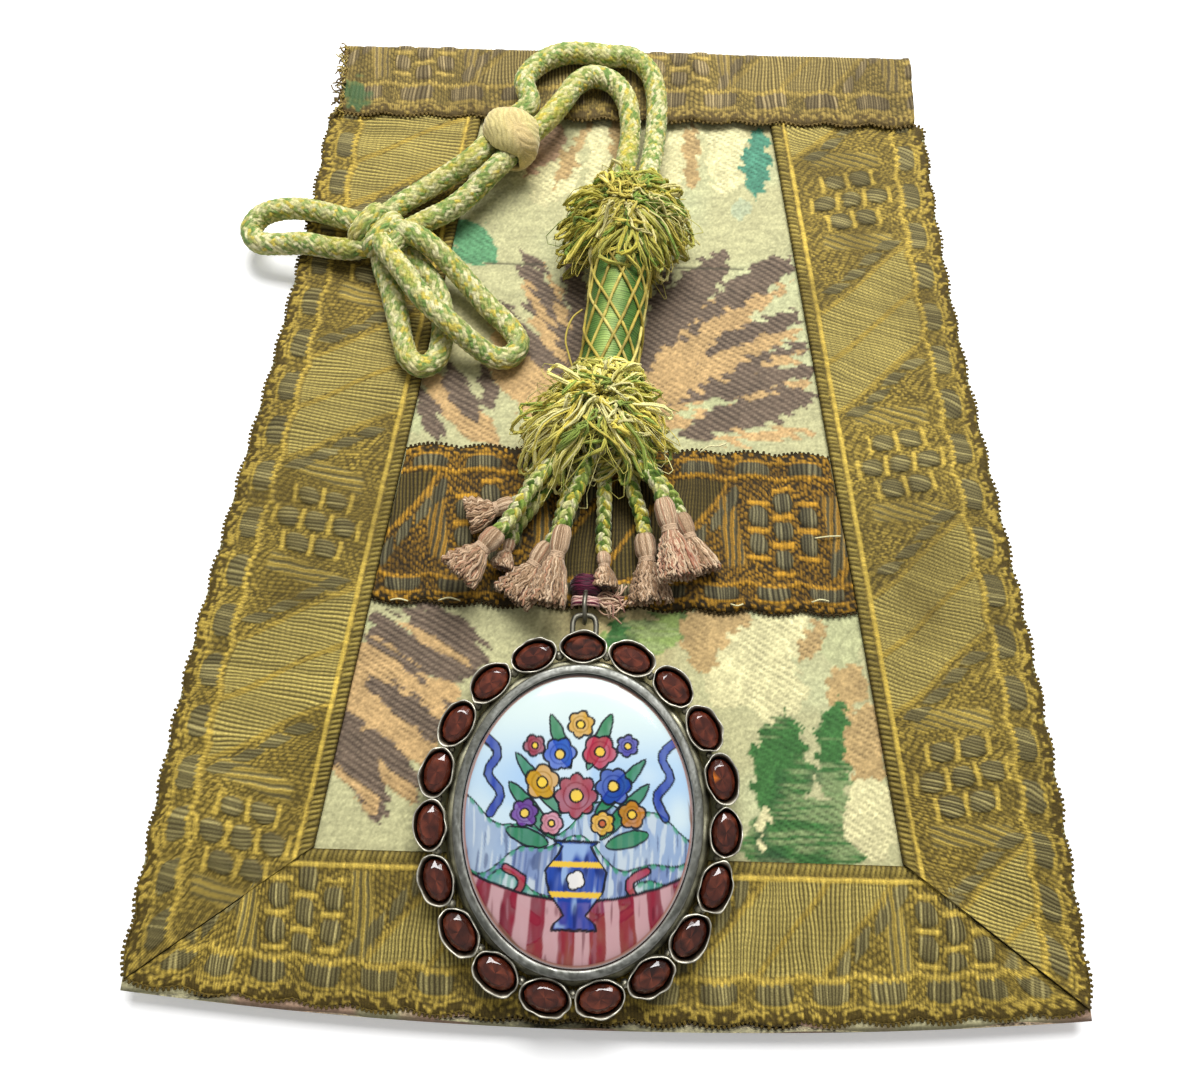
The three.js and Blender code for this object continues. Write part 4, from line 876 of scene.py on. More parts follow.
def top_band(name, look):
    """The top galloon: flat on the front, half round over the top edge, flat again on the back."""
    half = FLAP_HALF
    rows = round(2 * half / ROW_STEP / 1.1)
    s = np.linspace(0, 1, rows)[:, None]
    count = round(2 * half / SCALLOP_PITCH)
    front = FOLD_Y - FLAP_LOW - SCALLOP_DEPTH + scallops(s, count)
    bend = math.pi * FOLD_RADIUS
    # shares of the front, of the bend and of the turn-under, one after the other
    v = np.concatenate([
        np.linspace(0, 1, 44), 1 + np.linspace(0.08, 1, 12), 2 + np.linspace(0.12, 1, 8)])[None]
    run = np.where(v < 2, front + (v - 1) * bend, front + bend + (v - 2) * TURN_UNDER)
    run = np.where(v < 1, v * front, run)
    on_front, before_back = run < front, run < front + bend
    x = (2 * s - 1) * half + 0 * v
    block = s * count * SCALLOP_PITCH / 1.15 + 0 * v
    c = run - 17
    height, colour = weave(x, c, run, 60 + 0 * run, block, look)
    height = height * np.where(run > front, 0.6, 1)
    stain = step(0.1, 0.5, 1 - np.hypot((x + 62) / 4.5, (run - 5) / 5) + 0.5 * noise(x / 1.3, run / 1.3, 52))
    colour = over(colour, "3f5f3a", 0.75 * stain * on_front)
    turn = np.clip((run - front) / FOLD_RADIUS, 0, math.pi)
    radius, inside = FOLD_RADIUS + height, FOLD_RADIUS - CLOTH
    y = np.where(before_back, FOLD_Y + radius * np.sin(turn), FOLD_Y - (run - front - bend))
    y = np.where(on_front, FOLD_Y - front + run, y)
    z = np.maximum(FOLD_RADIUS + radius * np.cos(turn), 0)
    y_back = np.where(before_back & ~on_front, FOLD_Y + inside * np.sin(turn), y)
    z_back = np.where(before_back, np.maximum(FOLD_RADIUS + inside * np.cos(turn), CLOTH), CLOTH)
    strip = two_sided(np.stack([x, y, z], -1), np.stack([x, y_back, z_back], -1), colour, 0.6 * colour,
                      np.stack([x, run], -1))
    edge = np.column_stack([x[:, 0], y[:, 0]])
    wire = picots(edge, (0, -1), FLAP_TOP - 0.4, look["shades"]["edge"], 51)
    lay_galloon(name, strip, [wire])


def look_of(shades, seed, rosette, repeat, **changes):
    """How a band is woven: its shades and seed, the place and repeat of its rosette, and what
    differs from a plain band."""
    plain = {"lean": 0.72, "ridge": 0.0, "field": 3.0, "rope": True, "skew": 0.0, "tip": 0.0, "snug": 1.0}
    return {"shades": shades, "seed": seed, "rosette": rosette, "repeat": repeat, **plain, **changes}


side_band("galloon_right", 1, look_of(WARM, 11, -3.6, 62.6, ridge=0.8, skew=0.42, tip=-0.1))
side_band("galloon_left", -1, look_of(WARM, 12, -19.8, 61.2, lean=0.66, ridge=0.35, skew=0.03, tip=0.08))
bottom_band("galloon_bottom", look_of(WARM, 13, -54.2, 58.3, lean=0.8))
middle_band("galloon_middle",
            look_of(DARK, 14, -25.5, 59.1, field=THICK_LINE * 0.74 + 0.6, rope=False, snug=0.74))
top_band("galloon_top", look_of(WORN, 15, 12.0, 59.0, rope=False, snug=1.1))


# Brocade

SILKS = {
    "cream": "d3cc9a", "celadon": "aeb083", "salmon": "b29766", "pink": "ae8f70", "peach": "bf9e6c",
    "taupe": "5f5043", "teal": "4f8a70", "blue": "8fae9c", "green": "3c6a35", "grass": "8a9f58",
    "leafgreen": "5f9468",
}
# By silk: how much fuller a figure is than its listed width, and how strongly its ribs show, in relief and in
# the painted shade between them
FULLER = {"taupe": 1.3, "peach": 1.5}
RIBBED = {"celadon": 0.1, "blue": 0, "taupe": 0.9, "cream": 0.75}
# Figures of the brocade: colour, root x and y, tip x and y, half width
FIGURES = [
    ("cream", -11.3, 66.7, -21.7, 77, 5.2), ("pink", -21.8, 70.6, -15.1, 83.7, 3),
    ("cream", -14.3, 64.5, -21.2, 67.7, 2.6), ("salmon", -16.2, 66.6, -8.2, 85, 1.6),
    ("cream", -5.3, 64.3, -5.7, 85.6, 3), ("salmon", -1, 69.6, -1.8, 85.7, 1.6),
    ("cream", 9.2, 66, 14.8, 86.7, 4), ("salmon", 15.5, 68, 15, 86.7, 1.4),
    ("cream", 22.7, 66.1, 23.5, 87, 4.4), ("teal", 29.8, 66.3, 30.2, 84.5, 2.6),
    ("blue", 25.9, 59.5, 25.6, 65.2, 1.8), ("leafgreen", -28.6, 47.8, -38.1, 57.6, 4),
    ("peach", 1, 11, 31, 33, 6.5),
    ("peach", -6, 6, -27, 31, 5), ("peach", -52, -40, -33, -57, 6),
    ("peach", 4.4, 15.4, 25.3, 40, 5.2), ("taupe", 4.3, 20.4, 10, 47.4, 2),
    ("taupe", 6.4, 27.5, 22.6, 52.3, 3.4), ("taupe", 13.6, 29.1, 37.3, 51.2, 3),
    ("peach", 6, 21.9, 36.2, 44.2, 1.6), ("taupe", 16.2, 24, 38.6, 37.5, 2.6),
    ("peach", 7.7, 18.7, 38, 32.7, 1.6), ("taupe", 21.7, 20.9, 40.1, 30.1, 1.6),
    ("peach", 30.2, 24, 40.1, 28.7, 0.8), ("taupe", 12, 15.2, 41.4, 24.3, 2.2),
    ("celadon", 12, 13.3, 27.1, 17, 1), ("peach", 22.9, 14.6, 40.6, 20.6, 1),
    ("taupe", 13.7, 8.4, 41.8, 18.3, 2.6), ("peach", 20.3, 7.3, 41.5, 10.1, 1),
    ("taupe", -8.4, 21.9, -22.1, 49.7, 3), ("peach", -10.4, 30.8, -16.7, 47.2, 0.8),
    ("taupe", -6.3, 22, -12.1, 52.3, 2), ("peach", -11.3, 20, -21.3, 43.1, 1),
    ("taupe", -11.3, 20.4, -28, 38.5, 2), ("peach", -14.1, 17.1, -28.5, 25.1, 2.4),
    ("taupe", -26.1, 13.1, -29.7, 23.6, 1.4), ("peach", -25.2, 4.6, -42.4, 22.3, 2.4),
    ("taupe", -28.4, 8.6, -37.3, 22.9, 1.6), ("taupe", -36.8, 4.3, -43.8, 18.6, 1.8),
    ("celadon", -41.5, 5.5, -43.5, 15.4, 1.2), ("taupe", -47.6, -31, -40.6, -39.5, 2.4),
    ("celadon", -49.8, -32.7, -37.1, -39.1, 1.2), ("taupe", -48.3, -35.8, -24.8, -42.6, 2.8),
    ("taupe", -41.4, -29.6, -23.8, -40.2, 2.4), ("peach", -41.5, -33.7, -28, -41.1, 1.2),
    ("taupe", -42.7, -41.9, -29, -49.6, 1.6), ("peach", -51, -36.7, -31.8, -52.3, 2.4),
    ("peach", -35.5, -44.1, -29.1, -47.3, 0.8), ("taupe", -47.6, -43.6, -29.7, -54.9, 1.8),
    ("peach", -51.5, -46.4, -33.6, -59.8, 2), ("taupe", -46.6, -53.9, -35.7, -66.4, 2),
    ("taupe", -52.4, -49.5, -42.6, -70.6, 3), ("peach", -52.1, -59.3, -43.7, -68.8, 1),
    ("peach", -43, -59.7, -36.3, -67.5, 1), ("grass", -2.6, -35.3, 15.8, -33.2, 3.4),
    ("grass", 5.3, -38, 15, -29.2, 2.4), ("salmon", 17, -41, 24.9, -27.3, 6.8),
    ("cream", 19.3, -47.5, 37.9, -26.9, 5.6), ("cream", 31.8, -50.5, 31.7, -38.2, 4.8),
    ("salmon", 36, -38.9, 43, -27.2, 1.4), ("celadon", 43.7, -39.4, 47, -27.1, 4),
    ("salmon", 42.6, -47.9, 48.3, -39.3, 3.4), ("green", 31.4, -69.9, 33, -48.9, 4.8),
    ("green", 24.7, -72.9, 52.5, -67.8, 6), ("green", 41.2, -64.2, 43.4, -45.6, 3.2),
    ("salmon", 48.3, -63.3, 48.8, -45.8, 3.4), ("cream", 49.2, -75, 48.9, -60, 4.4),
    ("cream", 28, -73.5, 28.5, -66, 1.2), ("green", -1.5, -38.2, 2.2, -30.8, 2),
]


def leaf(x, y, x0, y0, x1, y1, half):
    """How far inside a leaf each point is, in mm: half its width times a rounded lens profile
    along it, less the distance from its midrib."""
    span = math.hypot(x1 - x0, y1 - y0)
    wx, wy = (x1 - x0) / span, (y1 - y0) / span
    a = ((x - x0) * wx + (y - y0) * wy) / span
    b = (y - y0) * wx - (x - x0) * wy
    profile = np.clip(4 * a * (1 - a), 0, 1) ** 0.62
    return half * profile - np.abs(b) - 9 * np.clip(np.abs(a - 0.5) - 0.5, 0, None)


def brocade_face(x, y):
    """Height and colour of the brocade. Each figure's edge is jittered by the length of a float,
    and inside the figures slanting ribs rise, 1.25 mm apart."""
    colour = over("aeab80", "a99b6d", step(0, 1, noise(x / 30, y / 30, 3)))
    colour = over(colour, "b5b98e", 0.7 * step(0.1, 1, noise(x / 14, y / 9, 4)))
    streak = noise(x / 7, y / 0.5, 5) + 0.7 * noise(x / 2.2, y / 0.45, 12)
    colour = colour * (1 + 0.1 * streak)[..., None]
    pick = np.floor(y / 0.62 + 0.25 * noise(x / 9, y / 3, 14))
    phase = (x * 0.5 + y * 0.87 + 0.3 * noise(x / 5, y / 5, 8)) / 1.25
    ribs = 0 * x
    dark = 0 * x
    for shade, x0, y0, x1, y1, half in FIGURES:
        side = np.sign((y - y0) * (x1 - x0) - (x - x0) * (y1 - y0))
        jitter = 0.6 * (chance(pick, side, half + x0) - 0.5) + 0.5 * noise(x / 2.5, y / 1.6, half)
        jitter = jitter + 2.1 * (chance(np.floor(phase), side, half + y0) - 0.5)
        depth = leaf(x, y, x0, y0, x1, y1, half * FULLER.get(shade, 1.15)) + jitter
        mask = step(-0.15, 0.2, depth)
        lot = noise(x / 3.0, y / 2.0, half) + noise(x / 0.7, y / 1.6, half + 3)
        cover = linear(SILKS[shade]) * (1 + 0.14 * lot)[..., None]
        colour = over(colour, cover, mask * (0.35 if shade == "blue" else 1))
        if shade in ("green", "grass"):
            faded = step(0, 0.7, noise(x / 4.5, y / 0.42, 16) + 0.9 * noise(x / 6, y / 7, 17))
            colour = over(colour, "98a472", 0.6 * mask * faded)
            colour = over(colour, "26402c", 0.6 * mask * step(0.2, 0.9, noise(x / 3.5, y / 5, 18)))
        ribs = ribs * (1 - mask) + mask * RIBBED.get(shade, 0.85)
        dark = dark * (1 - mask) + mask * (shade == "taupe")
    rib = 0.5 - 0.5 * np.cos(2 * np.pi * phase)
    # painted highlights on the rib crests of the taupe figures
    colour = over(colour, "94826c", 0.55 * dark * rib ** 3)
    firm = 0.72 + 0.5 * noise(x / 5.5, y / 4.5, 19) + 0.25 * noise(x / 1.6, y / 1.4, 20)
    # painted shade in the grooves between the ribs, its strength varied by noise
    colour = over(colour, colour * 0.3, np.clip(firm, 0, 1) * ribs * (1 - rib) ** 2.2)
    warp = chance(np.floor(x / 0.5), np.floor(y / 0.45), 9)
    colour = colour * (0.82 + 0.34 * warp)[..., None]
    crease = step(-0.5, -0.15, -abs(y - 47.5)) * (
        step(-30.5, -30, x) * step(16, 17, -x) + step(11, 12, x) * step(-27, -26.5, -x))
    colour = over(colour, "3c3a2c", 0.75 * crease)
    height = 0.16 * ribs * rib + 0.1 * noise(x / 12, y / 12, 10) + 0.2 * noise(x / 26, y / 22, 11)
    return height - 0.2 * crease, colour


def brocade():
    """The whole brocade sheet, finer where it shows between the galloons."""
    def spaced(*stretches):
        return np.concatenate([np.arange(a, b, d) for a, b, d in stretches])
    ys = spaced((PANEL_BOTTOM + BOTTOM_BOW, -76, 1.4), (-76, -28, 0.46), (-28, 2, 2.5), (2, 87, 0.46),
                (87, 101, 3.5))
    ys = np.append(ys, FOLD_Y)[:, None]
    share = np.concatenate([
        np.linspace(-1, -0.66, 12), np.linspace(-0.66, 0.66, 250)[1:-1], np.linspace(0.66, 1, 12)])
    bow = (bottom_y(share * PANEL_BOTTOM_HALF) - bottom_y(PANEL_BOTTOM_HALF))[None] * (
        1 - step(0, 20, ys - ys[0, 0]))
    x = share[None] * side_x(ys)
    y = ys + bow
    height, colour = brocade_face(x, y)
    deep = step(0, 8, y - galloon_low(x))
    tip = noise(x / 5, 0 * x, 21)
    colour = over(colour, over("c9a08a", "cfc79a", step(-0.2, 0.3, tip)), (1 - deep) * 0.8)
    cloth = shell(x, y, BROCADE_TOP + height * 0.8, colour, BROCADE_BASE, x, y)
    return piece("brocaded_silk_front", [cloth], BROCADE, "panel", stands_for="front_brocade")


face = brocade()


# Bead and knot

# Bead: straw-coloured thread wound over a core, matt and a little fuzzy.
STRAW = fibres("wound_straw_thread", 0.25, 0.2, 0.85, 0.3, 0.1)


def slide_bead():
    """A ball of wound thread, open where the two strands run through. Its outside is an ellipsoid
    whose ribs follow two slanting windings, and its bore is a rounded slot (a fourth-power oval)."""
    lon = turns(170)
    wide, high = STRAND_PITCH / 2 + CORD / 2 + 0.3, CORD / 2 + 0.3
    bore = ((np.abs(np.cos(lon)) / wide) ** 4 + (np.abs(np.sin(lon)) / high) ** 4) ** -0.25
    mouth = np.arccos(bore / (BEAD_DIAMETER / 2))
    lat = mouth[None] * np.linspace(-1, 1, 120)[:, None]
    u, v = lon[None] / (2 * np.pi), lat / np.pi
    hand = step(-0.15, 0.15, noise(5 * u, 3 * v, 61))
    winding = np.where(hand > 0.5, 16 * u + 11 * v, 19 * u - 12 * v) + 0.3 * noise(20 * u, 14 * v, 62)
    rib = np.abs(np.sin(np.pi * winding)) ** 0.6
    swell = 0.14 * (rib - 0.7) + 0.5 * noise(7 * u, 6 * v, 63)
    r = BEAD_DIAMETER / 2 * np.cos(lat) + swell * np.cos(lat)
    run = BEAD_LENGTH / 2 * np.sin(lat) + swell * np.sin(lat)
    inner = np.linspace(1, -1, 6)[1:-1, None]
    r = np.vstack([r, bore[None] * np.ones_like(inner)])
    run = np.vstack([run, BEAD_LENGTH / 2 * np.sin(mouth)[None] * inner])
    # ribs painted lighter on their crests than between them: painted highlight and shade
    shade = over("bfb070", "d3c486", rib)
    shade = over(shade, "cfb860", 0.5 * step(0.3, 0.8, noise(4 * u, 4 * v, 64)))
    shade = over(shade, "c9a47c", 0.35 * step(0.3, 0.8, noise(5 * u, 4 * v, 65)))
    shade = shade * (0.92 + 0.2 * noise(winding * 6, 30 * v, 66))[..., None]
    # the inside of the bore, painted dark as shade
    shade = np.vstack([shade, np.broadcast_to(linear("4a4230"), (len(inner), len(lon), 3))])
    points = (BEAD_AT + r[..., None] * np.cos(lon)[None, :, None] * bead_side
              + r[..., None] * np.sin(lon)[None, :, None] * np.array([0, 0, 1]) + run[..., None] * bead_way)
    piece("wound_thread_slide_bead", [patch(points, shade, around=True, along=True)], STRAW, "bead",
          stands_for="slide_bead")


def bow_knot():
    """Three slanting wraps of the braid, each an oval ring standing across the knot, on a core."""
    turn = math.radians(-35)
    along = np.array([math.cos(turn), math.sin(turn), 0])
    across = np.array([-along[1], along[0], 0])
    t = np.linspace(-0.5, 1.5, 96)[:, None] * np.pi
    wraps = []
    for k, (offset, size) in enumerate(((-3.9, 3.3), (0.1, 3.7), (3.9, 3.2))):
        ring = (KNOT_AT + (offset + 0.8 * np.sin(t)) * along + size * np.cos(t) * across
                + (2.4 - 0.15 * k) * np.sin(t) * np.array([0, 0, 1]))
        wraps.append(braid(ring, CORD * 0.96, 30 + k, side=along))
    # a core painted dark olive as the shade between the wraps, filling the middle
    core = KNOT_AT + ball(24, 40) * (KNOT_HALF - 1.6)
    wraps.append(patch(core, linear("6f7450"), around=True))
    piece("braided_bow_knot", wraps, BRAID, "panel", stands_for="bow_knot")


slide_bead()
bow_knot()

# Tassel. Its own frame has the mouth at the origin and the shaft running down -Y.

# Shaft: hard-twisted silk wound side by side, with a low shine.
SATIN = fibres("wound_green_silk", 0.2, 0.2, 0.45, 0.05, 0.05)
# Ruffs: soft silk yarn in loose loops, matt.
LOOPED = fibres("looped_soft_silk_thread", 0.3, 0.25, 0.75, 0.12, 0.08)
# Skirt cords: soft silk, plaited, matt with fine hairs.
PLAITED = fibres("plaited_soft_silk", 0.3, 0.25, 0.8, 0.12, 0.1)
# End tassels: crinkled silk floss, dull with a faint bloom at its edges.
FLOSS = fibres("rose_silk_floss", 0.25, 0.25, 0.75, 0.15, 0.08)


def in_tassel(points):
    """Points of the tassel's own frame, in the frame of the model."""
    return spun(points, TASSEL_TURN, TASSEL_MOUTH)


def tassel_shaft():
    """A round stem wound crosswise in fine silk, a cosine rib to each thread, under a net of
    yellow threads: steep helices one way round and flatter ones the other way. A pale streak runs
    down it where the silk shines, and one thread has come loose beside it."""
    rows, cols, winding = 480, 60, 0.5
    s = np.linspace(0, 1, rows)[:, None]
    lon = turns(cols)[None]
    y = -SHAFT_START - SHAFT_LENGTH * s + 0 * lon
    slack = 0.3 * noise(lon * 2.2, y / 3, 71)
    rib = 0.5 + 0.5 * np.cos(2 * np.pi * (y + slack) / winding)
    thread = np.floor((y + slack) / winding)
    r = SHAFT_RADIUS - 0.25 + 0.25 * np.sin(np.pi * s) + 0.07 * rib + 0.1 * noise(lon * 1.5, y / 6, 72)
    shine = np.exp(-((np.cos(lon) + 0.12) / 0.34) ** 2) * (np.sin(lon) > 0)
    shade = over("46692c", "a2b862", shine * (0.7 + 0.3 * noise(lon * 3, y / 2, 76)))
    # painted shade: darker down between the windings, over a random tone for each thread
    shade = shade * (0.5 + 0.5 * rib + 0.3 * chance(thread, np.floor(lon * 1.3 + thread), 73))[..., None]
    points = np.stack([r * np.cos(lon), y, r * np.sin(lon)], -1)
    made = [patch(in_tassel(points), shade, around=True)]
    gold = shades_of(("b09c44", "c9b75a", "9e8c38", "bcaa50", "d2c26c"))
    for wound, count, first in ((0.33, 11, 0.3), (-0.82, 7, 0.9)):
        t = np.linspace(0, 1, 80)[None]
        n = np.arange(count)[:, None]
        start = first + 2 * np.pi * (n + 0.4 * chance(n, 77)) / count
        a = start + 2 * np.pi * wound * t + 0.08 * noise(t * 6, start, 74)
        off = SHAFT_RADIUS + 0.25 + 0.6 * np.clip(noise(t * 3, start * 3, 75), 0, 1)
        down = -SHAFT_START - 4 - (SHAFT_LENGTH - 6) * t + 0 * a
        net = np.stack([off * np.cos(a), down, off * np.sin(a)], -1)
        lot = gold[np.arange(count) % 5][:, None] * (0.8 + 0.35 * noise(t * 40, start * 5, 78))[..., None]
        made.append(tubes(in_tassel(net), 0.32 + 0.05 * noise(t * 60, start, 79), lot, 6))
    loose = line_through([(-8.2, 34, 9), (-10.2, 31.9, 9.2), (-11.5, 27.1, 9), (-10.7, 23.6, 8.6),
                          (-9.6, 20.2, 8.8), (-8, 17, 9)], 0.4)
    made.append(tubes(loose, 0.22, gold[0], 6))
    piece("wound_tassel_shaft", made, SATIN, "tassel", stands_for="tassel_shaft")


# How far the loops of each ruff reach, by the angle from straight down towards the right
UPPER_REACH = ([-180, -150, -120, -90, -60, -35, -10, 18, 40, 70, 90, 116, 140, 180],
               [6, 9, 13.5, 13, 16.5, 12, 9, 15, 12, 12.5, 13.5, 13, 9, 6])
LOWER_REACH = ([-180, -150, -112, -85, -63, -36, -12, 10, 31, 50, 65, 76, 100, 122, 150, 180],
               [8, 9, 10.5, 14, 16, 19, 15.5, 12, 10, 16, 14.5, 12.5, 11.5, 11.3, 9.5, 8])


def twisted(paths, away, pitch, radius, tints):
    """Yarns of several threads: each thread winds round its yarn's path at a distance of away."""
    run = np.cumsum(np.linalg.norm(np.diff(paths, axis=1, prepend=paths[:, :1]), axis=2), 1)
    way = unit(np.gradient(paths, axis=1))
    side = unit(np.cross(way, [0.31, 0.2, 0.93]))
    up = np.cross(way, side)
    made = []
    for k, tint in enumerate(tints):
        turn = 2 * np.pi * (run / pitch + k / len(tints))[..., None]
        made.append(tubes(paths + away * (side * np.cos(turn) + up * np.sin(turn)), radius, tint, 4))
    return made


def looped_ruff(name, node, middle, reaches, shades, count, droop, floor, seed):
    """A ruff of soft yarn, tangled. A yarn goes out as (1 - cos t) / 2 of its reach and comes back
    beside itself by sin t times its width; its root lies anywhere over the mound, its way is
    turned off the radius, and smooth noise curls it. Fine stray hairs stand off the yarns."""
    def wander(number, reach_share, steps, curl, key):
        n = key + np.arange(number)
        layer = chance(n, 1, seed) ** 0.6  # 0 lies lowest
        angle = np.radians(360 * ((n * 0.618034) % 1) - 180)
        longest = np.interp(np.degrees(angle), *reaches)
        start = (0.02 + 0.58 * layer * chance(n, 2, seed)) * longest
        reach = (longest - start) * (0.72 + 0.34 * chance(n, 3, seed)) * reach_share
        radial = np.stack([np.sin(angle), -np.cos(angle), 0 * angle], -1)
        off = angle + 1.3 * (chance(n, 12, seed) - 0.5) * (0.4 + layer)
        way = np.stack([np.sin(off), -np.cos(off), 0 * off], -1)
        twist = 2.6 * (chance(n, 4, seed) - 0.5)
        aside = np.stack([-way[:, 1] * np.cos(twist), way[:, 0] * np.cos(twist), np.sin(twist)], -1)
        root = np.array([0, middle, 0]) + start[:, None] * radial
        root[:, 2] = -6.5 + 13.2 * layer * (1 - 0.6 * (start / longest) ** 2)
        t = np.linspace(0.03, 0.97, steps)[None] * 2 * np.pi
        out = (1 - np.cos(t)) / 2
        width = (0.9 + 2.2 * chance(n, 6, seed) ** 1.5)[:, None]
        lift = (0.6 + 1.9 * chance(n, 7, seed))[:, None]
        bend = (4.5 * (chance(n, 8, seed) - 0.5))[:, None]
        paths = (root[:, None] + (reach[:, None] * out)[..., None] * way[:, None]
                 + (width * np.sin(t) * (0.3 + 0.7 * out) + bend * out ** 2)[..., None] * aside[:, None])
        paths[..., 1] -= 0.15 * reach[:, None] * out ** 2
        paths[..., 2] += lift * np.sin(np.pi * out) - droop * layer[:, None] * out ** 2
        for axis, amount in enumerate((1, 1, 0.8)):
            waves = noise(t * 0.9 + axis, n[:, None] * 3.7, seed + axis)
            paths[..., axis] += curl * amount * np.sqrt(out) * waves
        low = -floor + 0.6 + 2.2 * chance(n, 9, seed)[:, None]
        paths[..., 2] = np.maximum(paths[..., 2], low)
        away = np.hypot(paths[..., 0], paths[..., 2])
        clear = SHAFT_RADIUS + 0.7 + 2.4 * (layer * chance(n, 14, seed))[:, None]
        pushed = np.maximum(away, clear * step(-3, 2, paths[..., 2])) / np.maximum(away, 0.1)
        paths[..., [0, 2]] *= pushed[..., None]
        return n, layer, t, out, paths

    n, layer, t, out, paths = wander(count, 1, 19, 1.6, 0)
    palette = shades_of(shades)
    tints = []
    for k in range(3):
        pick = (chance(n, 10, seed) * len(shades) + 0.9 * chance(n, 20 + k, seed)).astype(int)
        # painted shade: lower layers darker, and each yarn darker towards its root
        shade = palette[pick % len(shades)] * (0.5 + 0.6 * layer)[:, None]
        lit = (0.72 + 0.32 * out) * (1 + 0.25 * noise(t * 2, n[:, None] * 1.7 + k, seed))
        tints.append(shade[:, None] * lit[..., None])
    made = twisted(in_tassel(paths), 0.24, 2.3, 0.25, tints)
    n, _, t, _, paths = wander(80, 0.5, 18, 2.6, 3000)
    fair = palette[-3:][n % 3][:, None] * (0.9 + 0.3 * noise(t * 2, n[:, None] * 1.7, seed))[..., None]
    made += twisted(in_tassel(paths + [0, 0, 0.8]), 0.22, 2, 0.23, [fair, fair * 0.85])
    n, *_, paths = wander(150, 1.08, 12, 1.8, 1000)
    made.append(tubes(in_tassel(paths), 0.09, palette[n % len(palette)] * 1.05, 3))
    # a core under the loops, painted dark olive as the shade inside the ruff
    core = np.array([0, middle - 1.5, -1]) + ball(16, 32) * np.array([7.8, 7.2, 7.4])
    piece(name, [patch(in_tassel(core), linear("77752f"), around=True), *made], LOOPED, "tassel",
          stands_for=node)


def plait(path, diameter, pitch, colours, seed):
    """Three soft strands plaited: each swings aside as a sine and up and down at twice the rate,
    a third of a turn apart. Its surface has five twisted ridges."""
    spacing = length_of(path) / (len(path) - 1)
    run = np.arange(len(path)) * spacing
    _, side, up = side_frame(path)
    palette = shades_of(colours)
    ridges, winding = 5, 1.9
    lon = turns(15)
    made = []
    for k in range(3):
        turn = 2 * np.pi * (run / pitch + k / 3)
        centre = (path + side * (0.27 * diameter * np.sin(turn))[:, None]
                  + up * (0.15 * diameter * np.sin(2 * turn))[:, None])
        ridge = np.cos(ridges * lon[None] + 2 * np.pi * run[:, None] / winding)
        radius = 0.31 * diameter * (1 + 0.13 * ridge + 0.1 * noise(run / 2, 0 * run + k, seed)[:, None])
        _, s, u = side_frame(centre)
        rings = centre[:, None] + radius[..., None] * (
            s[:, None] * np.cos(lon)[None, :, None] + u[:, None] * np.sin(lon)[None, :, None])
        lot = np.floor(run / 2.6 + k * 0.37 + seed)[:, None]
        strand = np.floor((ridges * lon[None] / (2 * np.pi) + run[:, None] / winding) % ridges)
        pick = (chance(lot, k, strand, seed) * len(palette)).astype(int)
        # painted shade: darker between the ridges, lighter on them
        shade = palette[pick] * (0.72 + 0.34 * ridge)[..., None]
        made.append(patch(rings, shade, around=True))
    return made


def skirt_route(share):
    """From high under the lower ruff, over its root, to the last stretch into its end tassel."""
    root_share, across, down, turn_share, layer = share[:5]
    lowest = GALLOON_TOP + GAP + END_TASSEL_DEPTH / 2 - TASSEL_MOUTH[2]
    lie = lowest + layer * (END_TASSEL_DEPTH + GAP)
    root_z = lowest + SKIRT_CORD / 2 + layer * (SKIRT_CORD + GAP)
    root_y = -LOWER_RUFF_END - GAP
    turn = turn_share * math.pi / 2
    way = np.array([math.sin(turn), -math.cos(turn), 0])
    root = np.array([root_share * SKIRT_ROOT_HALF, root_y, root_z])
    end = np.array([across * SKIRT_SPREAD, root_y - down * SKIRT_REACH, lie])
    start = root + np.array([-0.3 * root[0], 8, 1.6])
    middle = start + (end - start) * 0.55 + np.array([0.08 * root[0], 0, 0.4])
    return [start, middle, end - way * SKIRT_CORD, end], way


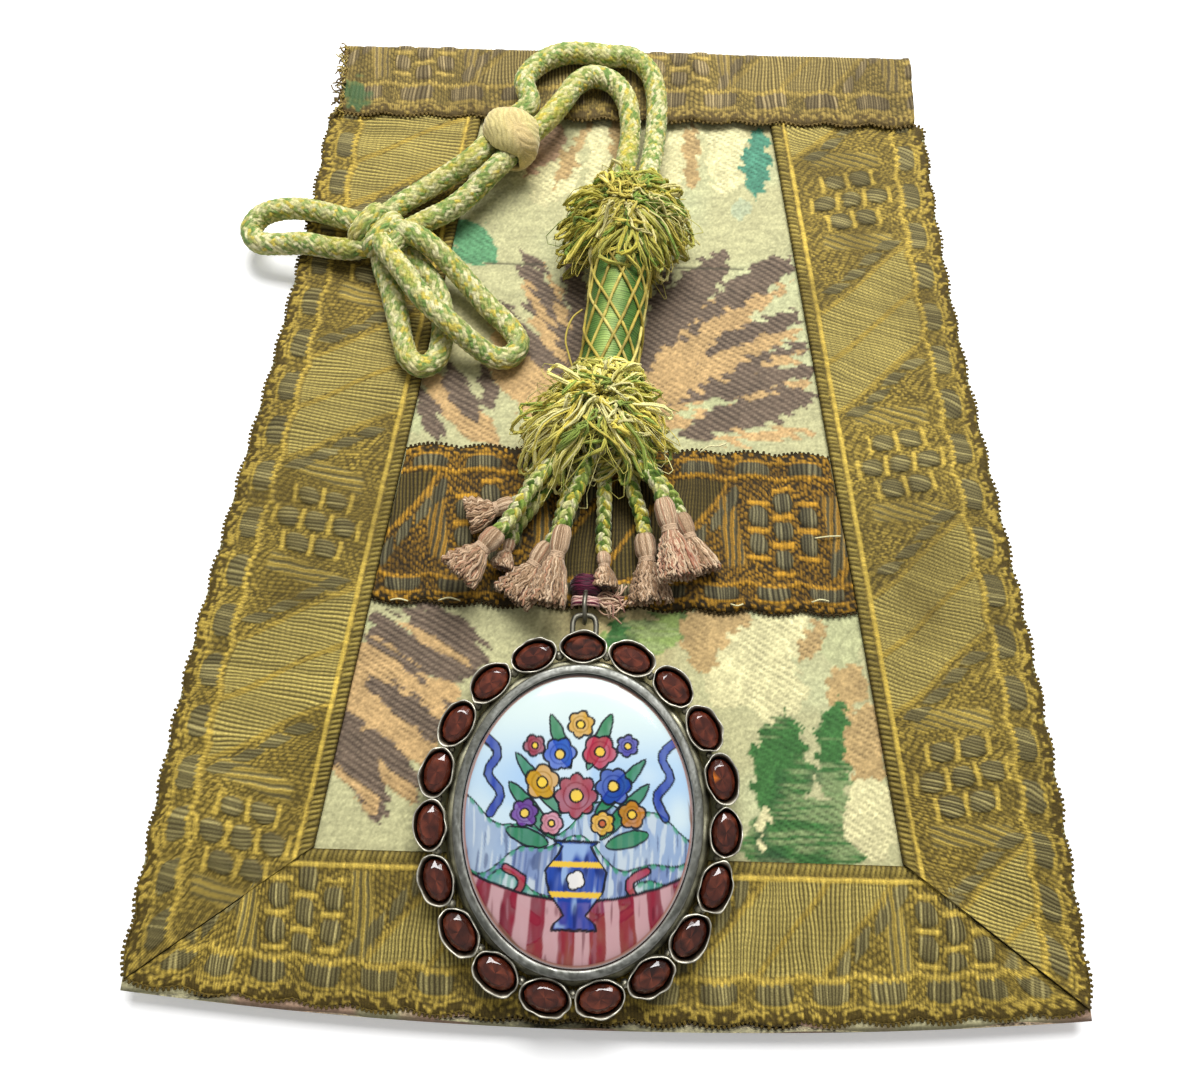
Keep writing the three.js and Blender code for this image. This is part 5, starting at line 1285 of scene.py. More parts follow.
def end_tassel(number, head, way, long, half):
    """A small tassel of crinkled floss: threads over a round head, a tied neck, and threads that
    fan out flat, each swaying by smooth noise, on a core painted dark as the shade inside it."""
    side = np.array([way[1], -way[0], 0])
    up = np.array([0, 0, END_TASSEL_DEPTH / 2])
    shares = np.array(END_TASSEL_SHARES)

    def at(t, a, grow):
        wide = np.interp(t, shares[:, 0], shares[:, 1]) * grow * half
        deep = np.interp(t, shares[:, 0], shares[:, 2]) * grow
        return (head + (t * long)[..., None] * way + (wide * np.cos(a))[..., None] * side
                + (deep * np.sin(a))[..., None] * up)

    rose = shades_of(ROSES)
    red = chance(number, 5)
    lon = turns(28)[None]
    t = np.linspace(0.01, 0.93, 24)[:, None]
    # the core, painted dark as shade
    made = [patch(in_tassel(at(t + 0 * lon, lon + 0 * t, 0.84)), linear("6b4c3f"), around=True)]
    n = np.arange(130)[:, None]
    t = np.linspace(0.37, 1, 17)[None] * (0.93 + 0.09 * chance(n, number))
    a = n * 2.399963 + 0.3 * noise(t * 5, n * 1.3, number)
    crimp = np.sin(2 * np.pi * (t * long / 1.5 + 0.25 * noise(a, 0 * a, number)))
    sway = at(t, a, (0.8 + 0.2 * chance(n, number + 20)) * (1 + 0.05 * crimp))
    aside = (0.16 * crimp + 0.2 * noise(t * long / 1.3, n * 3.1, number + 3)) * step(0.4, 0.55, t)
    sway += aside[..., None] * side
    sway += (0.1 * noise(t * long / 0.9, n * 2.3, number + 4))[..., None] * up
    pick = (chance(n[:, 0], number, 7) ** (1.6 - red) * len(rose)).astype(int)
    # the crinkles painted lighter and darker as highlight and shade, over a random tone
    tint = rose[pick][:, None] * (0.9 + 0.13 * crimp + 0.14 * noise(t * long / 1.3, n * 1.9, 8))[..., None]
    tint = over(tint, "8e4a38", 0.55 * red * step(0.1, 0.7, noise(a * 1.2, t * 2.5, number + 6)))
    made.append(tubes(in_tassel(sway), 0.25, tint, 4))
    n = np.arange(52)[:, None]
    t = np.linspace(0.0, 0.39, 9)[None] + 0 * n
    a = turns(52)[:, None] + 0.5 * t
    pick = (chance(n[:, 0], number, 9) * len(rose)).astype(int)
    knit = 0.85 + 0.25 * np.sin(2 * np.pi * (t * long / 1.2 + 0.5 * (n % 2)))
    made.append(tubes(in_tassel(at(t, a, 1.0)), 0.22, rose[pick][:, None] * knit[..., None], 4))
    n = np.arange(4)[:, None]
    a = np.linspace(0, 2 * np.pi * 0.985, 22)[None] + n
    made.append(tubes(in_tassel(at(0.355 + 0.018 * n + 0 * a, a, 1.12)), 0.24, linear("b59a7e"), 5))
    piece(f"floss_end_tassel_{number}", made, FLOSS, "tassel", stands_for=f"end_tassel_{number}")


ROSES = ["8c7054", "9e8264", "ae9274", "ba9e80", "c6ab8c", "d2b898", "a87e62"]
SKIRT_COLOURS = ["66822e", "879c44", "c4c47a", "d3d090", "ccbe48", "97a852", "dcd7a6", "526e28"]


def tassel_skirt():
    """The plaited cords under the lower ruff, each with its end tassel."""
    for number, share in enumerate(SKIRT_SHARES, 1):
        route, way = skirt_route(share)
        path = in_tassel(line_through(route, 0.24))
        piece(f"plaited_skirt_cord_{number}", plait(path, SKIRT_CORD + 0.3, 5.4, SKIRT_COLOURS, number),
              PLAITED, "tassel", stands_for=f"skirt_cord_{number}")
        end_tassel(number, route[-1], way, share[5] * END_TASSEL_LENGTH, share[6] * END_TASSEL_HALF)


tassel_shaft()
looped_ruff("looped_upper_ruff", "tassel_ruff_upper", -6.5, UPPER_REACH,
            ["a39a3a", "b3a948", "c9bc56", "a8a44a", "7e9640", "d6cc86", "d0c05a"], 240, 3.5, 8.2, 81)
looped_ruff("looped_lower_ruff", "tassel_ruff_lower", -50, LOWER_REACH,
            ["c3b958", "d6cc6c", "e6dc8e", "b4ae4c", "8ea048", "dccb5c", "e4dc98"], 260, 5, 7.2, 82)
tassel_skirt()

# Medallion, in its own frame: the middle of its back at the origin


def tarnished(name, rough, size):
    """Old silver: the painted tint of its tarnish, with grime in the roughness and scratches in
    the bump, just under one to the mm, as fine as still shows."""
    material = new_material(name)
    colour, grain, place = painted(material, 0.22, size)
    scratch = add(material, "TexNoise", {"Vector": place, "Scale": 0.9 / MM, "Detail": 4.0})
    level = add(material, "MapRange", {"Value": scratch.outputs[0], "From Min": 0.3, "From Max": 0.7,
                                       "To Min": rough - 0.1, "To Max": rough + 0.16})
    both = add(material, "Math", {0: scratch.outputs[0], 1: grain}, operation="ADD")
    bump = add(material, "Bump", {"Height": both.outputs[0], "Distance": 0.05 * MM, "Strength": 0.5})
    return finished(material, {"Base Color": colour, "Metallic": 1.0, "Roughness": level.outputs[0],
                               "Normal": bump.outputs[0]})


SILVER = tarnished("tarnished_cast_silver", 0.5, 1.4)


def fired_enamel():
    """Painted enamel: a smooth glassy coat over the painted tint, with a faint orange-peel about
    2 mm across."""
    material = new_material("painted_fired_enamel")
    tint = add(material, "Attribute", attribute_name="tint").outputs["Color"]
    place = add(material, "TexCoord").outputs["Object"]
    peel = add(material, "TexNoise", {"Vector": place, "Scale": 0.45 / MM, "Detail": 1.0})
    bump = add(material, "Bump", {"Height": peel.outputs[0], "Distance": 0.02 * MM, "Strength": 0.35})
    return finished(material, {"Base Color": tint, "Roughness": 0.12,
                               "Specular IOR Level": 0.35, "Normal": bump.outputs[0]})


def garnet_stone():
    """Rose-cut garnet: clear dark red stone over dark silver, with faint clouds inside."""
    material = new_material("rose_cut_garnet")
    colour, *_ = painted(material, 0.35, 1.6)
    return finished(material, {"Base Color": colour, "Roughness": 0.12, "IOR": 1.76,
                               "Specular IOR Level": 0.3, "Transmission Weight": 0.2})


ENAMEL = fired_enamel()
GARNET = garnet_stone()


def stone_places():
    """Middle and turn of each collet, spaced evenly along the oval, the first at the top."""
    turn = turns(720) + np.pi / 2
    fine = STONE_RING * np.stack([np.cos(turn), np.sin(turn)], -1)
    hops = np.linalg.norm(np.roll(fine, -1, 0) - fine, axis=1)
    travelled = np.append(0, np.cumsum(hops))
    wanted = travelled[-1] * np.arange(STONE_COUNT) / STONE_COUNT
    at = fine[np.searchsorted(travelled, wanted) % len(fine)]
    facing = np.arctan2(at[:, 1] / STONE_RING[1] ** 2, at[:, 0] / STONE_RING[0] ** 2)
    return at, facing + np.pi / 2


PLACES, TURNS = stone_places()


def on_ring(points, number):
    """Points round the origin, carried to a collet's place and turn."""
    return spun(points, TURNS[number], (*PLACES[number], 0)) + MEDALLION_AT


def flare(z):
    """Width of a collet at a height, against its rim: straight from foot to rim."""
    return COLLET_FLARE_SHARE + (1 - COLLET_FLARE_SHARE) * z / COLLET_HEIGHT


# Row by row: up the outside, from painted shade at the foot to a painted highlight at the rim, over the rim,
# and down the inside, painted darker towards the floor as shade
COLLET_SHADES = ["74725f", "84826a", "98957d", "aeaa92", "c4c0aa", "dad6c4", "e6e2d2", "c4bfae", "6a5a48",
                 "453529", "2a1e19"]


def collet(number):
    """A flaring cup of sheet silver with a thin, hammered, uneven rim and a floor."""
    lon = turns(60)[None]
    uneven = ringed(lon, 1.7, number, 91)
    nick = ringed(lon, 4, number, 92)
    rim = COLLET_HEIGHT + 0.22 * uneven + 0.12 * nick
    out_z = np.array([0, 0.25, 0.5, 0.75, 0.9, 0.97])[:, None] * rim
    bulge = 0.18 * np.sin(np.pi * out_z / COLLET_HEIGHT)
    scallop = (0.22 * uneven + 0.2 * ringed(lon, 2.6, number, 99)) * step(1, COLLET_HEIGHT, out_z)
    outer = [(flare(z) * COLLET_LONG + b + s, flare(z) * COLLET_WIDE + b + s, z)
             for z, b, s in zip(out_z, bulge, scallop)]
    last = scallop[-1:]
    lip = [(COLLET_LONG - w + last, COLLET_WIDE - w + last, rim + h)
           for w, h in ((0.08, 0.05), (0.26, 0.04))]
    inner = [(flare(z) * (COLLET_LONG - COLLET_WALL), flare(z) * (COLLET_WIDE - COLLET_WALL), z + 0 * lon)
             for z in (COLLET_HEIGHT - 0.5, 3.6, COLLET_FLOOR)]
    rows = [oval(a, b, z, lon).reshape(-1, 3) for a, b, z in outer + lip + inner]
    spots = 0.75 + 0.35 * ringed(lon[0], 3, number, 93)
    tint = shades_of(COLLET_SHADES)[:, None] * spots[None, :, None]
    return patch(on_ring(np.stack(rows), number), tint, around=True)


def medallion_mount():
    """Back plate of four stacked ovals, nineteen collets, the solder between them, which is a
    round bead carried round an oval and a ball at each gap, and the bail, a tube bent over."""
    lon = turns(120)
    foot = COLLET_WIDE * COLLET_FLARE_SHARE
    half = STONE_RING - foot + 0.4
    plate = [oval(*(half - d), z, lon) for z, d in ((0, 0.2), (0.2, 0), (1.0, 0), (MOUNT_THICK, 0.2))]
    dirt = 0.8 + 0.3 * ringed(lon, 4, 0, 94)
    made = [patch(np.stack(plate) + MEDALLION_AT, linear("8a8260") * dirt[None, :, None], around=True)]
    made += [collet(number) for number in range(STONE_COUNT)]
    a = turns(12)[:, None, None]
    seam = BEZEL_HALF + 0.55 + 0.85 * np.cos(a)
    seam = np.concatenate([seam * np.stack([np.cos(lon), np.sin(lon)], -1)[None],
                           3.1 + 0.85 * np.sin(a) + 0.25 * ringed(lon, 7, 0, 97)[None, :, None]], -1)
    grey = linear("96937c") * (0.7 + 0.5 * ringed(lon, 12, 0, 98))[None, :, None]
    made.append(patch(seam + MEDALLION_AT, grey + 0 * seam, around=True, along=True))
    lump = ball(8, 12, 0.48)
    between = (PLACES + np.roll(PLACES, -1, 0)) / 2
    for k, (x, y) in enumerate(between):
        size = 0.75 + 0.3 * chance(k, 95)
        at = np.array([x * 0.985, y * 0.985, 2.4 + 0.8 * chance(k, 96)])
        made.append(patch(at + lump * size + MEDALLION_AT, linear("a8a494"), around=True))
    root = STONE_RING[1] + foot
    top = BAIL_Y
    z = RING_AT[2] - MEDALLION_AT[2]
    path = [[BAIL_HALF, root, z], [BAIL_HALF, top - 1.5, z], [BAIL_HALF - 0.4, top - 0.4, z],
            [BAIL_HALF - 1.1, top, z]]
    path = path + [[-x, y, h] for x, y, h in path[::-1]]
    made.append(tubes(line_through(path, 0.25) + MEDALLION_AT, 0.55, linear("7b786c"), 12))
    piece("silver_collet_mount", made, SILVER, "medallion", stands_for="medallion_mount")


def medallion_bezel():
    """The rim that holds the plaque: a wall, a nearly flat lip turned in over it, and a shelf
    below. Its section is carried round an oval. Wide noise makes its face uneven and mottled, and
    fine noise scuffs it."""
    low = BEZEL_TOP - 1
    rim = [(0, low + 0.3), (0.04, low + 0.6), (0.15, low + 0.82), (0.35, low + 0.91), (0.6, low + 0.94),
           (0.9, low + 0.96), (1.2, low + 0.96), (1.46, low + 0.92), (1.58, low + 0.84), (1.64, low + 0.6)]
    section = np.array([
        (0, BEZEL_BASE), (0, 3), (0, 5), *rim, (1.69, low + 0.45), (LIP, low + 0.4), (LIP, low),
        (BEZEL_WALL, low), (BEZEL_WALL, LEDGE_TOP), (LEDGE_REACH, LEDGE_TOP),
        (LEDGE_REACH, LEDGE_TOP - LEDGE_THICK), (BEZEL_WALL, LEDGE_TOP - LEDGE_THICK),
        (BEZEL_WALL, BEZEL_BASE)])
    lon = turns(640)[:, None]
    inset, z = section[:, 0][None], section[:, 1][None]
    scuff = ringed(lon, 60, inset / 1.5, 106)
    dent = 0.05 * ringed(lon, 3.3, inset / 9, 101) + 0.025 * ringed(lon, 14, inset / 5, 102) + 0.01 * scuff
    points = oval(BEZEL_HALF[0] - inset, BEZEL_HALF[1] - inset, z + dent * (z > 5.5), lon)
    worn = ringed(lon, 9, inset / 4, 103) + 0.7 * ringed(lon, 24, inset / 3, 104)
    shade = over("63645d", "8f908a", step(-0.9, 0.8, worn + 0.6 * scuff))
    smudge = step(0.1, 1.1, ringed(lon, 2.6, inset / 6, 105) + 0.4 * worn)
    shade = over(shade, "4c4c44", 0.6 * smudge)
    # the lower walls painted lighter as reflected light
    shade = over(shade, "a9a798", step(0, 1, 5.6 - z))
    # painted highlights along the inner and outer edges of the lip
    bright = (step(1.4, 1.55, inset) + 0.5 * step(-0.3, -0.1, -inset)) * (z > low + 0.7)
    shade = over(shade, "c4c3b9", 0.6 * bright + 0 * lon)
    # the faces under the lip and round the ledge painted dark as shade
    shade = over(shade, "2c2a26", (z < low + 0.7) * (inset > 1) + 0 * lon)
    piece("silver_bezel", [patch(points + MEDALLION_AT, shade, around=True, along=True)], SILVER, "medallion",
          stands_for="medallion_bezel")


def stroke(x, y, points, width):
    """How far inside a brushed line each point is: half its width less the distance to it."""
    near = np.full(x.shape, 99.0)
    points = line_through([(*p, 0) for p in points], 1.2)[:, :2]
    for (ax, ay), (bx, by) in zip(points, points[1:]):
        dx, dy = bx - ax, by - ay
        t = np.clip(((x - ax) * dx + (y - ay) * dy) / (dx * dx + dy * dy), 0, 1)
        near = np.minimum(near, np.hypot(x - ax - t * dx, y - ay - t * dy))
    return width / 2 - near


def blossom(x, y, cx, cy, radius, petals, turn):
    """How far inside a flower each point is: a circle whose radius swells and dips with petals."""
    a = np.arctan2(y - cy, x - cx)
    return radius * (0.8 + 0.2 * np.abs(np.cos(petals * (a + turn) / 2))) - np.hypot(x - cx, y - cy)


# The painted vase: height above the middle of the plaque, half width there
VASE = ([-19, -18, -16.6, -13, -9.4, -6.6, -5.2, -4.4], [3.8, 3.6, 1.9, 4.6, 5.4, 3.2, 2.6, 3.9])
# Flowers of its bouquet: middle, radius, petals, colour
FLOWERS = [
    (-0.4, 3.4, 3.9, 8, "9c1c30"), (-6.6, 5.6, 3.1, 5, "cc9612"), (6.2, 5.2, 3.3, 6, "1838a0"),
    (-3.6, 10.6, 3.0, 6, "2c52bc"), (3.6, 11.2, 3.1, 5, "b32c48"), (-9.4, 0.2, 2.5, 6, "6c3494"),
    (9.6, 0.4, 2.5, 5, "bf7a12"), (0.0, 16.0, 2.5, 6, "d09c14"), (-8.2, 12.0, 2.0, 5, "961c36"),
    (8.6, 12.4, 2.0, 6, "40309c"), (-4.6, -1.4, 2.1, 5, "cc8494"), (4.4, -1.2, 2.2, 6, "e0ae3c"),
]
# Its ribbons, on both sides: width, colour, strength of the wash, points
RIBBONS = [
    (1.5, "16339c", 0.95, [(17.4, 13.5), (14.8, 10.6), (16.4, 7), (13.9, 3.4), (15.6, 0)]),
    (1.3, "a8283c", 0.9, [(6.5, -17.6), (10.5, -14.5), (9.3, -11), (12.3, -9)]),
]
# Its leaves: root x and y, tip x and y, half width
SPRAYS = [
    (-4, -4, -12.5, 5.5, 1.3), (4, -4, 12.6, 5.8, 1.3),
    (-3, 0, -11.5, 10.5, 1.2), (3, 0, 11.8, 10.0, 1.2),
    (-1.5, 8, -5.5, 17.6, 1.2), (1.5, 8, 5.6, 18.0, 1.2),
    (-5, -5, -12.6, -2.6, 1.4), (5, -5, 12.6, -2.8, 1.4),
]


def painted_bouquet(x, y):
    """Colours of the plaque: a pale ground washed with blue, rolling hills, a blue vase with a
    bouquet, and ribbons at both sides, all outlined by a fine dark brush."""
    ink = linear("14161f")
    wash = step(-19, -5, -y) * (0.6 + 0.3 * noise(x / 8, y / 8, 111))
    colour = over("d6e6e3", "93bbe6", wash)
    colour = over(colour, "d9e7e5", 0.6 * step(0.1, 0.8, noise(x / 6, y / 7, 112)))
    shaky = 0.12 * noise(x / 1.1, y / 1.1, 113)

    def draw(inside, shade, wash=0.8, line=0.16):
        nonlocal colour
        soft = wash * (0.92 + 0.1 * noise(x / 0.9, y / 2.2, 114))
        colour = over(colour, shade, step(0, 0.1, inside + shaky) * soft)
        colour = over(colour, ink, 0.95 * step(-0.09, 0, line - np.abs(inside + shaky)))

    hills = ((8.5, "7285b0"), (2.5, "6276ab"), (-4, "3f9a72"), (-9, "c9a02c"))
    for k, (height, shade) in enumerate(hills):
        edge = height - 9 + 2.6 * np.sin(x / 4.6 + 2.1 * k) + 1.1 * np.sin(x / 1.9 + k)
        draw(edge - y, shade, 0.62)
        streaks = noise(x / 0.5 + 0.5 * np.sin(y / 3), y / 4, 116 + k)
        below = step(0, 0.3, edge - y)
        colour = over(colour, "c6d2d8", 0.8 * step(0.25, 0.5, streaks) * below)
        colour = over(colour, "2c3a66", 0.55 * step(0.35, 0.6, -streaks) * below * (k < 2))
        tuft = np.abs(np.sin(1.9 * x + k)) * step(-1.4, -0.2, y - edge) * step(-0.3, 0, edge - y)
        colour = over(colour, "3f9a72", 0.7 * step(0.35, 0.8, tuft))
    for side in (-1, 1):
        for width, shade, soft, points in RIBBONS:
            draw(stroke(x, y, [(side * px, py) for px, py in points], width), shade, soft, 0.12)
    cloth = -14.2 + 0.012 * x ** 2 - y
    draw(cloth, "8c1c34", 0.97, 0.2)
    stripes = step(-0.1, 0.25, np.sin(1.25 * x + 0.012 * x * (y + 14)) + 0.2 * noise(x, y / 2, 117))
    worn = step(0.5, 0.9, noise(x / 0.8, y / 4, 118))
    for shade, share in (("cfa9ac", 0.8 * stripes), ("5c1024", 0.6 * worn)):
        colour = over(colour, shade, share * step(0.2, 0.5, cloth))
    for x0, y0, x1, y1, half in SPRAYS:
        draw(leaf(x, y, x0, y0, x1, y1, half), "1f7a48", 0.95, 0.13)
    body = np.interp(y, *VASE)
    vase = np.minimum(body - np.abs(x), np.minimum(y - VASE[0][0], VASE[0][-1] - y))
    draw(vase, "16409f", 0.97, 0.2)
    light = 0.8 * step(0.2, 0.7, noise(x / 1.1, y / 5, 119))
    deep = 0.7 * step(0.2, 0.7, -noise(x / 0.9, y / 4, 119))
    for shade, share in (("9dbbe0", light), ("0c1f5c", deep)):
        colour = over(colour, shade, share * step(0.2, 0.5, vase))
    for level in (-8.2, -13.2):
        colour = over(colour, "e8c040", step(0, 0.2, vase) * step(-0.55, -0.4, -np.abs(y - level)))
    draw(blossom(x, y, 0, -10.8, 1.7, 4, 0.4), "f4f0e4", 0.95, 0.12)
    for k, (cx, cy, radius, petals, shade) in enumerate(FLOWERS):
        inside = blossom(x, y, cx, cy, radius, petals, k)
        draw(inside, shade, 0.92, 0.17)
        reach = np.hypot(x - cx, y - cy)
        vein = step(-0.1, 0, 0.09 - np.abs(reach - 0.58 * radius))
        colour = over(colour, linear(shade) * 0.5, 0.55 * vein * step(0, 0.1, inside))
        draw(0.3 * radius - reach, "f2d04a" if shade[0] != "e" else "b4462f", 0.95, 0.12)
    return 0.8 * colour


def enamel_plaque():
    """A low dome, an oval of rings that rise as (1 - s^2)^0.6 from its edge to its middle."""
    wall = BEZEL_HALF - 1.5
    open_half = BEZEL_HALF - LIP - GAP
    base, edge = LEDGE_TOP + GAP, LEDGE_TOP + GAP + PLAQUE_THICK
    lon = turns(560)[None]
    s = np.concatenate([np.linspace(1, 0.9, 16), np.linspace(0.9, 0.004, 104)[1:]])[:, None]
    x, y = open_half[0] * s * np.cos(lon), open_half[1] * s * np.sin(lon)
    z = edge + PLAQUE_CROWN * np.clip(1 - s * s, 0, 1) ** 0.6 + 0 * lon
    skirt = [oval(*wall, height, lon) for height in (base, edge)]
    points = np.concatenate([*skirt, np.stack([x, y, z], -1)])
    colour = painted_bouquet(x, y)
    colour = over(colour, "a8796a", 0.85 * step(0.988, 0.994, s) + 0 * lon)
    chip = step(0.45, 0.7, ringed(lon, 7, 3 * s, 115)) * step(0.965, 0.99, s)
    colour = over(colour, "7a5a48", 0.8 * chip)
    colour = np.concatenate([np.broadcast_to(linear("cdd5d6"), (2, *colour.shape[1:])), colour])
    piece("painted_enamel_plaque", [patch(points + MEDALLION_AT, colour, around=True)], ENAMEL, "medallion",
          stands_for="enamel_plaque")


GLINTING = 15  # the stone with an orange glint in one facet

# Rings of a rose-cut stone: share of its height, share of its girdle, turn in half facets
STONE_RINGS = [(0, 0.82, 0), (0.5, 1, 0), (0.7, 0.94, 1), (0.86, 0.7, 0), (0.93, 0.62, 1), (0.95, 0.04, 1)]


def garnet(number):
    """A rose-cut stone: rings of twelve points round ovals that shrink upwards, some turned by
    half a facet. It sits a little askew, and its facets are painted darker and lighter at random
    as reflections inside the stone; one stone has a painted orange glint."""
    base = COLLET_FLOOR + GAP
    height = COLLET_HEIGHT - base
    half = np.array([COLLET_LONG, COLLET_WIDE]) - COLLET_WALL
    rows = []
    for rise, share, half_turns in STONE_RINGS:
        lon = 2 * np.pi * (np.arange(12) + half_turns / 2) / 12
        at = base + height * min(rise, 0.5)
        size = flare(at) * half - 0.22
        rows.append(oval(*(share * size), base + height * rise, lon))
    points = np.stack(rows)
    lean = 0.05 * (chance(number, 121) - 0.5)
    points[..., 2] += lean * points[..., 0] * (points[..., 2] > base + 0.1)
    shade = over("250e09", "441a10", chance(number, 122))
    facet = chance(number, np.arange(12)[None], np.arange(len(STONE_RINGS))[:, None], 123)
    shade = over(shade, "84402a", 0.7 * facet ** 3)
    if number == GLINTING:
        shade[4, 2] = linear("e07a1c")
    piece(f"rose_cut_garnet_{number + 1:02d}", [patch(on_ring(points, number), shade, around=True)], GARNET,
          "medallion", stands_for=f"garnet_{number + 1:02d}", flat=True)


# Hanger

# Thread tie: waxed wine-red thread, dark, each turn with a low shine.
WOUND = fibres("waxed_wine_thread", 0.2, 0.2, 0.55, 0.2, 0.05)


def frayed(at, count, way, spread, long, radius, colours, seed):
    """A bunch of ragged thread ends: each leaves the same place its own way and is waved by noise."""
    n = np.arange(count)[:, None]
    t = np.linspace(0, 1, 10)[None]
    turn = way + spread * (2 * chance(n, 1, seed) - 1) + 0.5 * noise(t * 3, n * 1.9, seed)
    reach = long * (0.4 + 0.6 * chance(n, 2, seed)) * t
    points = np.stack([
        at[0] + reach * np.cos(turn),
        at[1] + 0.9 * (chance(n, 3, seed) - 0.5) + reach * np.sin(turn),
        at[2] + 1.2 * (chance(n, 4, seed) - 0.5) + 0.5 * noise(t * 4, n * 2.7, seed + 1)], -1)
    palette = shades_of(colours)
    return tubes(points, radius, palette[n[:, 0] % len(palette)], 5)


def jump_ring():
    """A ring of wire, a little bent, standing on edge along the panel. Its ends nearly meet."""
    t = np.linspace(0.01, 0.99, 72) * 2 * np.pi + 0.4
    path = RING_AT + RING_RADIUS * np.stack([0.03 * np.sin(3 * t), np.cos(t), np.sin(t)], -1)
    piece("silver_jump_ring", [tubes(path, 0.45, linear("747165"), 12)], SILVER, "ring",
          stands_for="jump_ring")


def thread_tie():
    """Turns of thread over the ring and into the galloon, each an arch with a flat top: a dark
    lump above, and paler wraps where it goes through the ring."""
    t = np.linspace(0, 1, 26)[None] * np.pi
    n = np.arange(26)[:, None]
    spread = (n / 25 - 0.5) * 2
    y = TIE_Y + 3.1 + 2.1 * spread + 0.2 * noise(t * 2, n * 3.0, 131)
    bulk = np.sqrt(np.clip(1 - 0.75 * spread ** 2, 0, 1))
    x = RING_AT[0] + (0.4 + 2.3 * bulk) * np.cos(t) * (1 + 0.1 * chance(n, 132))
    z = GALLOON_TOP - 0.2 + (1.2 + 3.6 * bulk) * np.sin(t) ** 0.6
    lump = np.stack([x, y, z], -1)
    n = np.arange(7)[:, None]
    y = TIE_Y - 0.75 + 0.25 * n + 0.12 * noise(t * 2, n * 3.0, 133)
    x = RING_AT[0] + (2.5 + 0.15 * chance(n, 134)) * np.cos(t)
    z = GALLOON_TOP - 0.2 + (3.9 + 0.3 * np.sin(n)) * np.sin(t) ** 0.5
    wraps = np.stack([x, y, z], -1)
    wine = shades_of(("3a0d20", "4c1229", "2c0a18", "5c1a33"))
    pale = shades_of(("b88f86", "5a1830", "c9a79a", "8f5a58"))
    made = [tubes(lump, 0.3, wine[np.arange(26) % 4], 6), tubes(wraps, 0.28, pale[np.arange(7) % 4], 6)]
    made.append(frayed((RING_AT[0] + 1.6, TIE_Y + 0.4, GALLOON_TOP + 1.4), 40, -0.1, 0.45, 7, 0.2,
                       ["b99a80", "c9ae92", "a3836a", "8c6656"], 135))
    piece("wound_thread_tie", made, WOUND, "panel", stands_for="thread_tie")


medallion_mount()
medallion_bezel()
enamel_plaque()
for number in range(STONE_COUNT):
    garnet(number)
jump_ring()
thread_tie()


# Back of the panel, and the loose ends on its face

# Board: layered pasteboard, dry and matt.
PASTEBOARD = fibres("layered_pasteboard", 0.5, 0.12, 0.9, 0.0, 0.05)


def outlined(inset, top, spacing):
    """Columns and rows of a plain sheet of the panel's shape, drawn in at its sides and bottom."""
    low = bottom_y(PANEL_BOTTOM_HALF) + inset
    ys = np.linspace(low, top, round((top - low) / spacing))[:, None]
    share = np.linspace(-1, 1, round(2 * PANEL_BOTTOM_HALF / spacing))[None]
    half = side_x(ys) - inset
    x = share * half
    fall = (bottom_y(x) - bottom_y(PANEL_BOTTOM_HALF)) * (1 - step(0, 30, ys - low))
    return x, ys + fall


def core_board():
    """Plain pasteboard inside the panel."""
    x, y = outlined(3, FOLD_Y, 6)
    top = np.full(x.shape, BOARD_TOP)
    colour = np.broadcast_to(linear("9a8a6c"), (*x.shape, 3))
    piece("pasteboard_core", [shell(x, y, top, colour, BOARD_TOP - BOARD_THICK, x, y)], PASTEBOARD, "panel",
          stands_for="core_board")


def back_lining():
    """Plain cotton, its edges turned in and hemmed with small slanting stitches."""
    x, y = outlined(LINING_INSET, FOLD_Y - TURN_UNDER - GAP, 1.5)
    crease = 0.12 * noise(x / 14, y / 11, 141) + 0.05 * noise(x / 3, y / 4, 142)
    edge = np.minimum(side_x(y) - LINING_INSET - np.abs(x), y - bottom_y(x) - LINING_INSET)
    hem = step(3.1, 3.5, edge)
    shade = over("8a7c58", "a09169", step(-1, 1, noise(x / 22, y / 18, 143)))
    stitch = step(0.25, 0.1, np.abs(wrap(x + y, 4.6)) / 4.6) * step(-0.4, -0.2, -np.abs(edge - 3.3))
    shade = over(shade, "cfc39a", 0.8 * stitch) * (0.92 + 0.08 * hem)[..., None]
    depth = np.clip(0.12 + 0.16 * hem - crease, 0, 0.5)
    cloth = two_sided(np.stack([x, y, depth], -1), np.stack([x, y, 0 * x + CLOTH], -1), shade, shade,
                      np.stack([x, y], -1))
    made = piece("cotton_back_lining", [cloth], LINING, "panel", stands_for="back_lining")


# Bunches of loose threads at the left end of the top galloon: y and lift
FRAYED_END = [(101.5, 0.4), (99.5, 0.7), (96.5, 0.5), (93, 0.7), (89.5, 0.6), (86, 0.8)]
# Loose pale threads on the face
STRAYS = [
    [(16.8, 3.7), (18.6, 4.9), (20.5, 5.0), (22.3, 5.9)], [(39.7, -13.9), (42.3, -13.6), (44.9, -13.3)],
    [(22.8, -27.8), (24.0, -28.2), (25.2, -27.7)], [(38.6, -27.0), (40.2, -26.5), (42.0, -26.7)],
    [(-43.8, -28.9), (-42.1, -28.7), (-40.3, -29.0)], [(-34.4, -28.7), (-32.3, -28.2), (-30.1, -28.6)],
]


